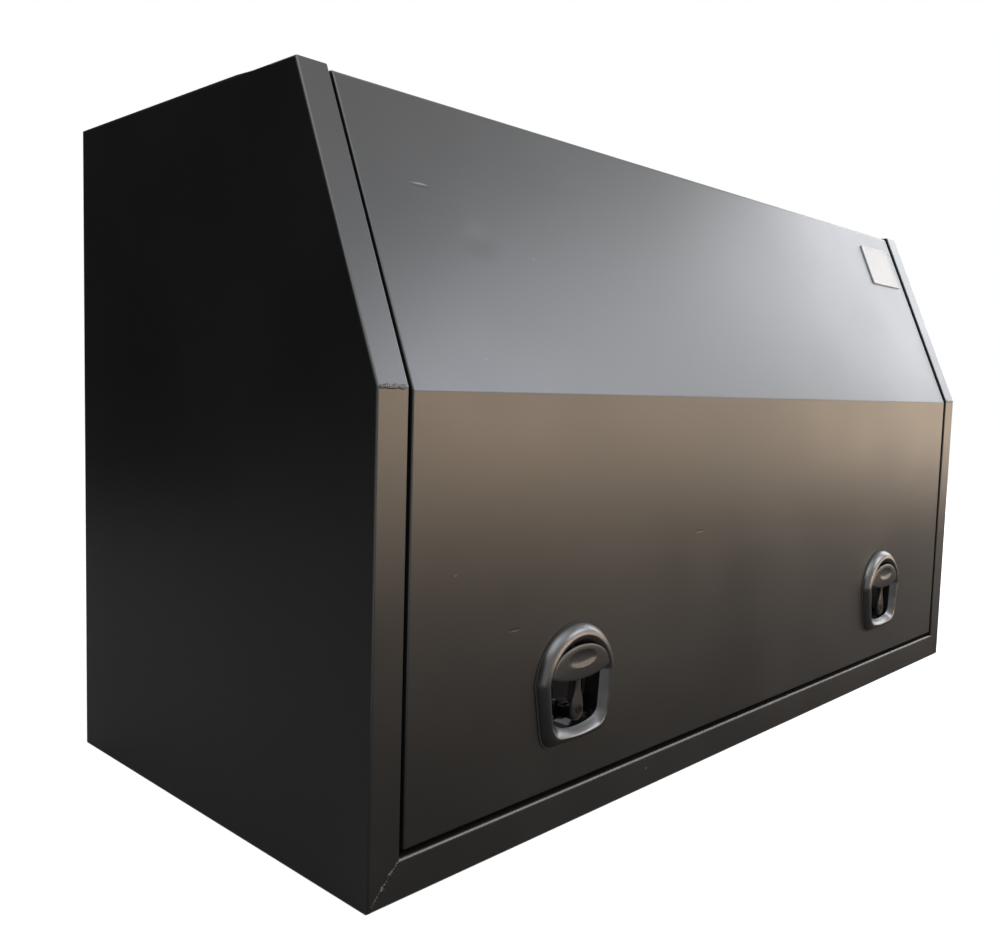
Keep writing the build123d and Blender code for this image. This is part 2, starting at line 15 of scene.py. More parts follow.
import bmesh
import bpy
import numpy as np
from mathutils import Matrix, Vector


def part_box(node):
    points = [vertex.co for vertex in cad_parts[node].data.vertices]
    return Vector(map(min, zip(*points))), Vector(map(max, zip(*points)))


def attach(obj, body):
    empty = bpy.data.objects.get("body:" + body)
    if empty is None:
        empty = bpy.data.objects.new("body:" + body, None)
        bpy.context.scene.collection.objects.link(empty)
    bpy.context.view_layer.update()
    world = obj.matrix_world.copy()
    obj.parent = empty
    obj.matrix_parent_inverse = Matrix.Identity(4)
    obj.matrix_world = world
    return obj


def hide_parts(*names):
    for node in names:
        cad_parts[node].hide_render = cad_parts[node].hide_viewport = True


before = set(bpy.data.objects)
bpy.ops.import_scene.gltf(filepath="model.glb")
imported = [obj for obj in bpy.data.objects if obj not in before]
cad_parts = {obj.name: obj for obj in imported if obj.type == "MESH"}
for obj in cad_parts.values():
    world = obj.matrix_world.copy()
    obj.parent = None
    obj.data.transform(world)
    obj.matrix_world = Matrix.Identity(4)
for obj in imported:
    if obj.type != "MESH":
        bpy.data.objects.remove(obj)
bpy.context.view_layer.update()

Array = np.ndarray
Color = tuple[float, float, float]
Place = tuple[float, float, float]
log = logging.getLogger("tool_box")


# Named choices

class Side(Enum):
    """Left and right of the box, as the sign of x."""

    LEFT = -1
    RIGHT = 1

    @property
    def word(self) -> str:
        """Word that the frame's names start with."""
        return self.name.lower()


class Slot(Enum):
    """Material slots of the record, one named for each new piece."""

    COAT = "coated_sheet"
    RUBBER = "rubber"
    BADGE = "badge"
    PLATED = "plated_steel"
    TUBE = "strut_tube"
    ROD = "strut_rod"
    NYLON = "nylon"
    BEZEL = "latch_bezel"
    HANDLE = "latch_handle"


class Grain(Enum):
    """How a metal's marks run: scales of their noise along x, y and z."""

    ALONG_X = (9.0, 700.0, 700.0)
    ALONG_Y = (500.0, 14.0, 500.0)
    ROUND = (260.0, 260.0, 260.0)


# Shader groups

class Nodes:
    """Short way to place and link shader nodes in one tree."""

    def __init__(self, tree: bpy.types.NodeTree) -> None:
        """Keeps the tree that nodes go into."""
        self.tree = tree

    def fill(self, socket: bpy.types.NodeSocket, value: object) -> None:
        """Links an input to another socket, or sets its plain value."""
        if isinstance(value, bpy.types.NodeSocket):
            self.tree.links.new(value, socket)
        else:
            socket.default_value = value

    def put(self, kind: str, inputs: dict | None = None, **settings: object) -> bpy.types.Node:
        """Places a node.

        Args:
            kind: Name of the node type, without ShaderNode.
            inputs: Values or sockets for its inputs, by name or index.
            settings: Other settings of the node.

        Returns:
            The node.
        """
        node = self.tree.nodes.new("ShaderNode" + kind)
        for name, value in settings.items():
            setattr(node, name, value)
        for key, value in (inputs or {}).items():
            self.fill(node.inputs[key], value)
        return node

    def math(self, operation: str, first: object, second: object = 0.0) -> bpy.types.NodeSocket:
        """One operation on two values or sockets."""
        return self.put("Math", {0: first, 1: second}, operation=operation).outputs[0]

    def vector(self, operation: str, first: object, second: object) -> bpy.types.NodeSocket:
        """One operation on two vectors or sockets."""
        return self.put("VectorMath", {0: first, 1: second}, operation=operation).outputs[0]

    def times(self, value: object, factor: object) -> bpy.types.NodeSocket:
        """Product of two values or sockets."""
        return self.math("MULTIPLY", value, factor)

    def band(self, value: object, low: float, high: float, start: float = 0.0,
             end: float = 1.0) -> bpy.types.NodeSocket:
        """Value carried from the range low to high onto start to end, held at both ends."""
        names = {"Value": value, "From Min": low, "From Max": high, "To Min": start, "To Max": end}
        return self.put("MapRange", names, interpolation_type="SMOOTHSTEP").outputs[0]

    def blend(self, share: object, first: object, second: object) -> bpy.types.NodeSocket:
        """Colour between two colours."""
        return self.put("Mix", {0: share, 6: first, 7: second}, data_type="RGBA").outputs[2]

    def noise(self, vector: object, scale: object, detail: float = 2.0) -> bpy.types.NodeSocket:
        """Smooth noise of one scale."""
        return self.put("TexNoise", {"Vector": vector, "Scale": scale, "Detail": detail}).outputs[0]

    def seen(self) -> bpy.types.NodeSocket:
        """One for rays of the camera, of gloss and of glass, none for the light that falls on a piece."""
        path = self.put("LightPath").outputs
        mirrored = self.math("MAXIMUM", path["Is Camera Ray"], path["Is Glossy Ray"])
        return self.math("MAXIMUM", mirrored, path["Is Transmission Ray"])


class Effect:
    """A shader node group that several finishes share."""

    def __init__(self, name: str, inputs: Sequence[tuple[str, str]], outputs: Sequence[str]) -> None:
        """Makes the group and its sockets.

        Args:
            name: Name of the group.
            inputs: Names and kinds (Float or Vector) of its inputs.
            outputs: Names of its outputs, each a value.
        """
        self.tree = bpy.data.node_groups.new(name, "ShaderNodeTree")
        for label, kind in inputs:
            self.tree.interface.new_socket(label, in_out="INPUT", socket_type="NodeSocket" + kind)
        for label in outputs:
            self.tree.interface.new_socket(label, in_out="OUTPUT", socket_type="NodeSocketFloat")
        self.nodes = Nodes(self.tree)
        self.given = self.tree.nodes.new("NodeGroupInput").outputs
        self.result = self.tree.nodes.new("NodeGroupOutput").inputs

    def give(self, label: str, socket: bpy.types.NodeSocket) -> None:
        """Sends a socket out of the group."""
        self.tree.links.new(socket, self.result[label])

    def place(self, nodes: Nodes, **inputs: object) -> bpy.types.NodeOutputs:
        """Places the group in a material with its own values and returns its outputs."""
        return nodes.put("Group", inputs, node_tree=self.tree).outputs


class Effects:
    """The shared effects: orange peel, dust, chips, creases and brush marks."""

    def __init__(self) -> None:
        """Builds each group once."""
        self.peel = self._peel()
        self.dust = self._dust()
        self.chips = self._chips()
        self.crease = self._crease()
        self.brush = self._brush()

    def _peel(self) -> Effect:
        """Orange peel of a powder coat: fine noise for its height, broad noise for its cloudy tone."""
        made = Effect("orange_peel", [("Vector", "Vector"), ("Scale", "Float")], ["Height", "Tone"])
        at, scale, nodes = made.given["Vector"], made.given["Scale"], made.nodes
        fine = nodes.noise(at, scale, 3.0)
        broad = nodes.noise(at, nodes.times(scale, 0.23), 1.0)
        made.give("Height", nodes.math("ADD", nodes.times(fine, 0.65), nodes.times(broad, 0.35)))
        made.give("Tone", nodes.noise(at, nodes.times(scale, 0.006), 3.0))
        return made

    def _dust(self) -> Effect:
        """Dust: few small round specks, and a haze of fine grains in patches."""
        made = Effect("dust", [("Vector", "Vector"), ("Scale", "Float")], ["Specks", "Haze"])
        at, scale, nodes = made.given["Vector"], made.given["Scale"], made.nodes
        cells = nodes.put("TexVoronoi", {"Vector": at, "Scale": scale})
        few = nodes.band(nodes.put("SeparateColor", {0: cells.outputs["Color"]}).outputs[0], 0.93, 0.95)
        made.give("Specks", nodes.times(few, nodes.band(cells.outputs["Distance"], 0.07, 0.03)))
        patches = nodes.band(nodes.noise(at, nodes.times(scale, 0.09), 2.0), 0.45, 0.75)
        grains = nodes.band(nodes.noise(at, nodes.times(scale, 26.0), 1.0), 0.45, 0.8)
        made.give("Haze", nodes.times(patches, grains))
        return made

    def _chips(self) -> Effect:
        """Chips: noise above a limit that falls as the wear mask rises, with a ragged edge."""
        made = Effect("chips", [("Vector", "Vector"), ("Scale", "Float"), ("Wear", "Float")], ["Mask"])
        nodes = made.nodes
        rough = nodes.noise(made.given["Vector"], made.given["Scale"], 6.0)
        worn = nodes.math("ADD", rough, nodes.times(made.given["Wear"], 0.42))
        made.give("Mask", nodes.times(made.given["Wear"], nodes.band(worn, 0.96, 1.0)))
        return made

    def _crease(self) -> Effect:
        """Crease: one minus the length of the place divided by its reach, held above zero and smoothed."""
        inputs = [("Vector", "Vector"), ("Place", "Vector"), ("Reach", "Vector")]
        made = Effect("crease", inputs, ["Height"])
        nodes = made.nodes
        gap = nodes.vector("SUBTRACT", made.given["Vector"], made.given["Place"])
        part = nodes.vector("DIVIDE", gap, made.given["Reach"])
        length = nodes.put("VectorMath", {0: part}, operation="LENGTH").outputs["Value"]
        made.give("Height", nodes.band(length, 1.0, 0.0))
        return made

    def _brush(self) -> Effect:
        """Brush marks: noise stretched along the grain, and a broad tone."""
        made = Effect("brush_marks", [("Vector", "Vector"), ("Stretch", "Vector")], ["Height", "Tone"])
        nodes = made.nodes
        at = nodes.vector("MULTIPLY", made.given["Vector"], made.given["Stretch"])
        made.give("Height", nodes.noise(at, 1.0, 4.0))
        made.give("Tone", nodes.noise(at, 0.08, 3.0))
        return made


EFFECTS = Effects()


# Finishes

def opaque(color: Color) -> tuple[float, float, float, float]:
    """Colour with full alpha."""
    return (*color, 1.0)


class Shading:
    """A material with one Principled shader, while it is built."""

    def __init__(self, name: str, color: Color, roughness: float, metallic: float = 0.0) -> None:
        """Makes the material and its plain values.

        Args:
            name: Name of the material.
            color: Base colour.
            roughness: Middle roughness.
            metallic: One for bare metal.
        """
        self.material = bpy.data.materials.new(name)
        self.material.use_nodes = True
        self.material.diffuse_color = opaque(color)
        self.nodes = Nodes(self.material.node_tree)
        self.shader = self.material.node_tree.nodes["Principled BSDF"]
        self.feed(Base_Color=opaque(color), Roughness=roughness, Metallic=metallic)
        self.at = self.nodes.put("TexCoord").outputs["Object"]

    def feed(self, **inputs: object) -> None:
        """Links sockets to the shader's inputs or sets their values, with underscores for spaces."""
        for label, value in inputs.items():
            self.nodes.fill(self.shader.inputs[label.replace("_", " ")], value)

    def bump(self, height: bpy.types.NodeSocket, distance: float) -> None:
        """Raises the surface by a height times a distance in metres."""
        bump = self.nodes.put("Bump", {"Height": height, "Distance": distance, "Strength": 1.0})
        self.feed(Normal=bump.outputs[0])


class Finish:
    """Start of every finish."""

    name: str

    def build(self) -> bpy.types.Material:
        """Builds the finish's material."""
        raise NotImplementedError

    @property
    def material(self) -> bpy.types.Material:
        """The material, built the first time that it is asked for."""
        return bpy.data.materials.get(self.name) or self.build()


@dataclass(frozen=True)
class Coat(Finish):
    """Powder coat: orange peel, cloudy roughness, dust, bare chips where a piece is worn, and creases."""

    name: str
    color: Color
    roughness: float
    peel_scale: float = 750.0
    peel_height: float = 0.00006
    specular: float = 0.3
    dust: float = 0.2
    creases: tuple[tuple[Place, Place, float], ...] = ()
    bare: Color = (0.62, 0.61, 0.59)
    dust_color: Color = (0.42, 0.40, 0.37)
    dust_scale: float = 42.0
    haze_share: float = 0.12
    chip_scale: float = 420.0
    cloud: float = 1.3
    unevenness: float = 0.02

    def build(self) -> bpy.types.Material:
        """Feeds colour, roughness and bump from the peel, the dust, the chips and the creases."""
        work = Shading(self.name, self.color, self.roughness)
        work.feed(Specular_IOR_Level=self.specular)
        nodes, at = work.nodes, work.at
        peel = EFFECTS.peel.place(nodes, Vector=at, Scale=self.peel_scale)
        dust = EFFECTS.dust.place(nodes, Vector=at, Scale=self.dust_scale)
        wear = nodes.put("Attribute", attribute_name="wear").outputs["Fac"]
        chips = EFFECTS.chips.place(nodes, Vector=at, Scale=self.chip_scale, Wear=wear)["Mask"]
        haze = nodes.times(dust["Haze"], self.dust * self.haze_share)
        pale = nodes.math("ADD", haze, nodes.times(dust["Specks"], self.dust))
        lighter = tuple(min(1.0, self.cloud * part) for part in self.color)
        clouded = nodes.blend(nodes.band(peel["Tone"], 0.35, 0.7), opaque(self.color), opaque(lighter))
        dusted = nodes.blend(pale, clouded, opaque(self.dust_color))
        work.feed(Base_Color=nodes.blend(chips, dusted, opaque(self.bare)))
        smoothest, roughest = self.roughness - self.unevenness, self.roughness + self.unevenness
        spread = nodes.band(peel["Tone"], 0.3, 0.7, smoothest, roughest)
        work.feed(Roughness=nodes.math("ADD", spread, nodes.times(pale, 0.5)), Metallic=chips)
        height = peel["Height"]
        for place, reach, depth in self.creases:
            dip = EFFECTS.crease.place(nodes, Vector=at, Place=place, Reach=reach)["Height"]
            height = nodes.math("SUBTRACT", height, nodes.times(dip, depth / self.peel_height))
        work.bump(nodes.math("SUBTRACT", height, nodes.times(chips, 2.0)), self.peel_height)
        return work.material


@dataclass(frozen=True)
class Metal(Finish):
    """Bare or plated metal: brush marks in its bump and roughness, a broad tarnish in its colour."""

    name: str
    color: Color
    tarnish: Color
    roughness: float
    grain: Grain
    depth: float = 0.00001
    dust_scale: float = 60.0

    def build(self) -> bpy.types.Material:
        """Feeds colour, roughness and bump from the brush marks."""
        work = Shading(self.name, self.color, self.roughness, 1.0)
        nodes = work.nodes
        marks = EFFECTS.brush.place(nodes, Vector=work.at, Stretch=self.grain.value)
        dust = EFFECTS.dust.place(nodes, Vector=work.at, Scale=self.dust_scale)
        dull = nodes.band(marks["Tone"], 0.35, 0.75, 0.0, 0.8)
        work.feed(Base_Color=nodes.blend(dull, opaque(self.color), opaque(self.tarnish)))
        spread = nodes.band(marks["Height"], 0.25, 0.75, self.roughness * 0.75, self.roughness * 1.3)
        work.feed(Roughness=nodes.math("ADD", spread, nodes.times(dust["Haze"], 0.15)))
        work.bump(marks["Height"], self.depth)
        return work.material


@dataclass(frozen=True)
class Rubber(Finish):
    """Black rubber or nylon: matt, with a fine grain, a bloom in patches and dust."""

    name: str
    color: Color
    bloom: Color
    roughness: float
    scale: float = 900.0
    specular: float = 0.35
    dust_scale: float = 70.0
    unevenness: float = 0.08
    depth: float = 0.00005

    def build(self) -> bpy.types.Material:
        """Feeds colour, roughness and bump from the peel and the dust."""
        work = Shading(self.name, self.color, self.roughness)
        work.feed(Specular_IOR_Level=self.specular)
        nodes = work.nodes
        peel = EFFECTS.peel.place(nodes, Vector=work.at, Scale=self.scale)
        dust = EFFECTS.dust.place(nodes, Vector=work.at, Scale=self.dust_scale)
        patches = nodes.band(peel["Tone"], 0.4, 0.75, 0.0, 0.6)
        hazy = nodes.math("ADD", patches, nodes.times(dust["Haze"], 0.5))
        work.feed(Base_Color=nodes.blend(hazy, opaque(self.color), opaque(self.bloom)))
        smoothest, roughest = self.roughness - self.unevenness, self.roughness + self.unevenness
        work.feed(Roughness=nodes.band(peel["Height"], 0.3, 0.7, smoothest, roughest))
        work.bump(peel["Height"], self.depth)
        return work.material


WHITE: Color = (1.0, 1.0, 1.0)
BLACK: Color = (0.0080, 0.0079, 0.0078)
SHEET = Coat("black_coat", BLACK, 0.36, specular=0.62)
LID_SHEET = Coat("black_coat_lid", BLACK, 0.36, specular=0.62, creases=(
    ((-0.5767, -0.2111, 0.6930), (0.016, 0.003, 0.003), 0.0004),
    ((-0.5091, -0.2314, 0.6448), (0.034, 0.020, 0.030), 0.0003),
    ((-0.5090, -0.2986, 0.2387), (0.013, 0.020, 0.0022), 0.00016),
    ((-0.1629, -0.2986, 0.3133), (0.014, 0.020, 0.0022), 0.00016),
))
INNER_SHEET = Coat("black_coat_inside", (0.018, 0.0178, 0.0172), 0.46, dust=0.6)
RING = Coat("black_cast_ring", (0.010, 0.0099, 0.0098), 0.30, 1300.0, 0.00005, 1.0, 0.25)
PAN = Coat("black_gloss_pan", (0.006, 0.006, 0.006), 0.08, 300.0, 0.00001, 0.5, 0.12)
GRIP = Coat("black_cast_handle", (0.014, 0.0138, 0.0136), 0.33, 1500.0, 0.00004, 0.5, 0.2)
STRUT_PAINT = Coat("black_strut_paint", (0.010, 0.010, 0.011), 0.22, 900.0, 0.00001, 0.5, 0.3)
PLATE = Coat("pale_label", (0.42, 0.42, 0.424), 0.60, 500.0, 0.00001, 0.2, 0.15)
WELD = Coat("black_coat_weld", BLACK, 0.32, 500.0, 0.0001, 0.6, bare=(0.24, 0.235, 0.23))
STEEL = Metal("hinge_steel_finish", (0.42, 0.42, 0.43), (0.20, 0.19, 0.18), 0.32, Grain.ALONG_X)
ZINC = Metal("zinc_plate", (0.66, 0.67, 0.70), (0.44, 0.43, 0.40), 0.30, Grain.ROUND)
CHROME = Metal("rod_chrome", (0.78, 0.79, 0.80), (0.64, 0.64, 0.65), 0.09, Grain.ALONG_Y, 0.000002)
DARK_STEEL = Metal("blackened_steel", (0.035, 0.035, 0.036), (0.018, 0.018, 0.018), 0.42, Grain.ROUND)
BRASS = Metal("dark_key_brass", (0.060, 0.052, 0.040), (0.030, 0.027, 0.022), 0.40, Grain.ROUND)
RUBBER = Rubber("black_rubber", (0.016, 0.016, 0.016), (0.045, 0.045, 0.044), 0.72)
NYLON = Rubber("black_nylon", (0.020, 0.020, 0.021), (0.040, 0.040, 0.041), 0.45, 1600.0)


# Surfaces

def smooth(points: Sequence[tuple[float, float]], count: int) -> Array:
    """Curve through points: on each span the cubic that has each end's neighbours' chord as its tangent.

    Args:
        points: Corners in order.
        count: Number of places on the curve.

    Returns:
        Places, count by 2.
    """
    given = np.asarray(points, float)
    padded = np.vstack([2 * given[0] - given[1], given, 2 * given[-1] - given[-2]])
    along = np.linspace(0, len(given) - 1, count)
    span = np.minimum(along.astype(int), len(given) - 2)
    t = (along - span)[:, None]
    a, b, c, d = (padded[span + step] for step in range(4))
    return 0.5 * (2 * b + (c - a) * t + (2 * a - 5 * b + 4 * c - d) * t**2 + (3 * b - a - 3 * c + d) * t**3)


def turned(section: Array, origin: Place, axis: Place, sides: int = 40, flats: int = 0) -> Array:
    """Surface of revolution: each (along, radius) of the section carried round the axis, or round a prism.

    Args:
        section: Places (along, radius), n by 2.
        origin: Point that along is counted from.
        axis: Direction of the axis.
        sides: Places round the axis.
        flats: Number of flats, or none for a round piece.

    Returns:
        Points, n by sides by 3.
    """
    section = np.asarray(section, float)
    line = np.asarray(axis, float) / np.linalg.norm(axis)
    first = np.cross(line, (0.0, 0.0, 1.0) if abs(line[2]) < 0.9 else (1.0, 0.0, 0.0))
    first /= np.linalg.norm(first)
    second = np.cross(line, first)
    angle = np.linspace(0, 2 * np.pi, sides, endpoint=False)
    step = np.pi / max(flats, 1)
    swell = 1 / np.cos((angle + step) % (2 * step) - step) if flats else np.ones(sides)
    spokes = (np.cos(angle) * swell)[:, None] * first + (np.sin(angle) * swell)[:, None] * second
    return np.asarray(origin) + section[:, :1, None] * line + section[:, 1:, None] * spokes


def quads(index: Array) -> Array:
    """Corners of the faces of a grid: point (i, j) joins (i + 1, j) and (i, j + 1) in a face.

    Args:
        index: Numbers of the points, m by n.

    Returns:
        Numbers of each face's corners, m - 1 by n - 1 by 4.
    """
    return np.stack([index[:-1, :-1], index[1:, :-1], index[1:, 1:], index[:-1, 1:]], axis=-1)


class Patchwork:
    """Grids of points gathered into one mesh."""

    merge: ClassVar[float] = 2e-6
    thinnest: ClassVar[float] = 1e-7

    def __init__(self) -> None:
        """Starts empty."""
        self.points: list[Array] = []
        self.faces: list[Array] = []
        self.wear: list[Array] = []
        self.finish: list[Array] = []
        self.count = 0

    def grid(self, points: Array, wrap: tuple[bool, bool] = (False, False), finish: int | Array = 0,
             wear: float | Array = 0.0, skip: Array | None = None) -> "Patchwork":
        """Adds one grid of faces.

        Args:
            points: Points, m by n by 3.
            wrap: Whether rows and columns close on themselves.
            finish: Number of the finish, one for all or one for each row.
            wear: Wear from 0 to 1.
            skip: Mask of faces left out, m - 1 by n - 1.

        Returns:
            The patchwork itself.
        """
        rows, columns = points.shape[:2]
        index = np.arange(rows * columns).reshape(rows, columns) + self.count
        index = np.vstack([index, index[:1]]) if wrap[0] else index
        index = np.hstack([index, index[:, :1]]) if wrap[1] else index
        corners = quads(index)
        number = np.broadcast_to(np.asarray(finish).reshape(-1, 1), corners.shape[:2])
        keep = ~skip if skip is not None else np.ones(corners.shape[:2], bool)
        self.points.append(points.reshape(-1, 3))
        self.faces.append(corners[keep])
        self.finish.append(number[keep])
        self.wear.append(np.broadcast_to(wear, (rows, columns)).reshape(-1))
        self.count += rows * columns
        return self

    def build(self, name: str, finishes: Sequence[Finish], facing: Place | None = None,
              crisp: float = 38.0) -> bpy.types.Object:
        """Makes the object: doubles merged, faces outward, smooth but for crisp edges.

        Args:
            name: Name of the piece.
            finishes: Finishes in the order of their numbers.
            facing: Way that most of an open sheet faces, or none for a closed piece.
            crisp: Angle in degrees past which an edge stays sharp.

        Returns:
            The object, at the origin.
        """
        mesh = bpy.data.meshes.new(name)
        mesh.from_pydata(np.vstack(self.points).tolist(), [], np.vstack(self.faces).tolist())
        wear = mesh.attributes.new("wear", "FLOAT", "POINT")
        wear.data.foreach_set("value", np.concatenate(self.wear).astype("f"))
        mesh.polygons.foreach_set("material_index", np.concatenate(self.finish).astype("i"))
        made = bmesh.new()
        made.from_mesh(mesh)
        bmesh.ops.remove_doubles(made, verts=made.verts, dist=self.merge)
        bmesh.ops.dissolve_degenerate(made, edges=made.edges, dist=self.thinnest)
        bmesh.ops.recalc_face_normals(made, faces=made.faces)
        made.to_mesh(mesh)
        made.free()
        if facing is not None:
            normals = np.empty(3 * len(mesh.polygons))
            areas = np.empty(len(mesh.polygons))
            mesh.polygons.foreach_get("normal", normals)
            mesh.polygons.foreach_get("area", areas)
            if areas @ normals.reshape(-1, 3) @ np.asarray(facing) < 0:
                mesh.flip_normals()
        mesh.shade_smooth()
        mesh.set_sharp_from_angle(angle=math.radians(crisp))
        for finish in finishes:
            mesh.materials.append(finish.material)
        piece = bpy.data.objects.new(name, mesh)
        bpy.context.scene.collection.objects.link(piece)
        return piece


class Assembly:
    """Start of every sub-assembly: hangs pieces on bodies and dresses the solids that stay."""

    bend_steps: ClassVar[int] = 4
    fold_angle: ClassVar[float] = 42.0

    def hang(self, piece: bpy.types.Object, body: str, slot: Slot, *nodes: str) -> bpy.types.Object:
        """Hangs a piece on its body and hides the solids that it stands for.

        Args:
            piece: The new piece.
            body: Body of the frame that carries it.
            slot: Slot of the record named for the piece; not used.
            nodes: Solids that it replaces.

        Returns:
            The piece.
        """
        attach(piece, body)
        if nodes:
            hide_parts(*nodes)
        log.info("%s on %s, %d faces, for %s", piece.name, body, len(piece.data.polygons), nodes or "itself")
        return piece

    def dress(self, finish: Finish, *nodes: str) -> None:
        """Gives solids that stay a finish."""
        for node in nodes:
            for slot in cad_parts[node].material_slots:
                slot.material = finish.material
            log.info("%s keeps its solid, in %s", node, finish.name)

    def thicken(self, piece: bpy.types.Object, sheet: float, bend: float = 0.0) -> None:
        """Gives an open sheet its thickness inward, after rounding its folds where they are sharp.

        Args:
            piece: The open sheet.
            sheet: Thickness.
            bend: Outer radius of its folds, or none where the sheet has them already.
        """
        if bend:
            bevel = piece.modifiers.new("bends", "BEVEL")
            bevel.width = bend
            bevel.segments = self.bend_steps
            bevel.limit_method = "ANGLE"
            bevel.angle_limit = math.radians(self.fold_angle)
            bevel.use_clamp_overlap = False
        wall = piece.modifiers.new("sheet", "SOLIDIFY")
        wall.thickness = sheet
        wall.offset = -1.0
        piece.modifiers.new("flat_faces", "WEIGHTED_NORMAL").keep_sharp = True


# The front's bent line

@dataclass(frozen=True)
class FrontLine:
    """The bent line of the front, slope and top, seen from the side, and its parallels."""

    front: float = -0.300
    break_height: float = 0.4885
    shoulder: float = -0.1685
    top: float = 0.800
    arc_steps: int = 6

    @property
    def up_slope(self) -> Array:
        """Direction up the slope in (y, z)."""
        run = np.array([self.shoulder - self.front, self.top - self.break_height])
        return run / np.linalg.norm(run)

    def knees(self, insets: Array) -> tuple[Array, Array]:
        """Corners of a parallel: where its moved slope meets its moved front and its moved top.

        Args:
            insets: Insets of front, slope and top, k by 3.

        Returns:
            Lower and upper corners, each k by 2.
        """
        run = self.up_slope
        inward = np.array([run[1], -run[0]])
        start = np.array([self.front, self.break_height]) + insets[:, 1:2] * inward
        to_front = (self.front + insets[:, :1] - start[:, :1]) / run[0]
        to_top = (self.top - insets[:, 2:] - start[:, 1:]) / run[1]
        return start + to_front * run, start + to_top * run

    def lines(self, insets: Array, foot: Array, rear: Array, radius: Array,
              shares: tuple[Array, Array, Array]) -> Array:
        """Parallels with both corners rounded: straight runs and arcs between their tangent points.

        Args:
            insets: Insets of front, slope and top, k by 3.
            foot: Height of each lower end, k.
            rear: Depth of each rear end, k.
            radius: Corner radius of each, k.
            shares: Shares along each of the three runs.

        Returns:
            Points (y, z), k by n by 2.
        """
        low, high = self.knees(insets)
        ways = np.array([[0.0, 1.0], self.up_slope, [1.0, 0.0]])
        first = np.stack([low[:, 0], np.broadcast_to(foot, low.shape[:1])], axis=-1)
        last = np.stack([np.broadcast_to(rear, low.shape[:1]), high[:, 1]], axis=-1)
        parts, start = [], first
        for number, knee in enumerate((low, high)):
            way, turn = ways[number], math.acos(ways[number] @ ways[number + 1])
            setback = radius[:, None] * math.tan(turn / 2)
            begin, end = knee - setback * way, knee + setback * ways[number + 1]
            parts.append(start[:, None] + shares[number][None, :, None] * (begin - start)[:, None])
            angle = np.linspace(0, turn, self.arc_steps + 1)[1:-1, None]
            bow = np.sin(angle) * way + (1 - np.cos(angle)) * np.array([way[1], -way[0]])
            parts.append(begin[:, None] + radius[:, None, None] * bow)
            start = end
        parts.append(start[:, None] + shares[2][None, :, None] * (last - start)[:, None])
        return np.concatenate(parts, axis=1)


def raised(x: Array | float, line: Array) -> Array:
    """Points of a line in (y, z) set at x, with any leading axes."""
    across = np.broadcast_to(np.asarray(x, float)[..., None], (*line.shape[:-1], 1))
    return np.concatenate([across, line], axis=-1)


LINE = FrontLine()
LATCH_X = 0.408
LATCH_Z = 0.164


# The box

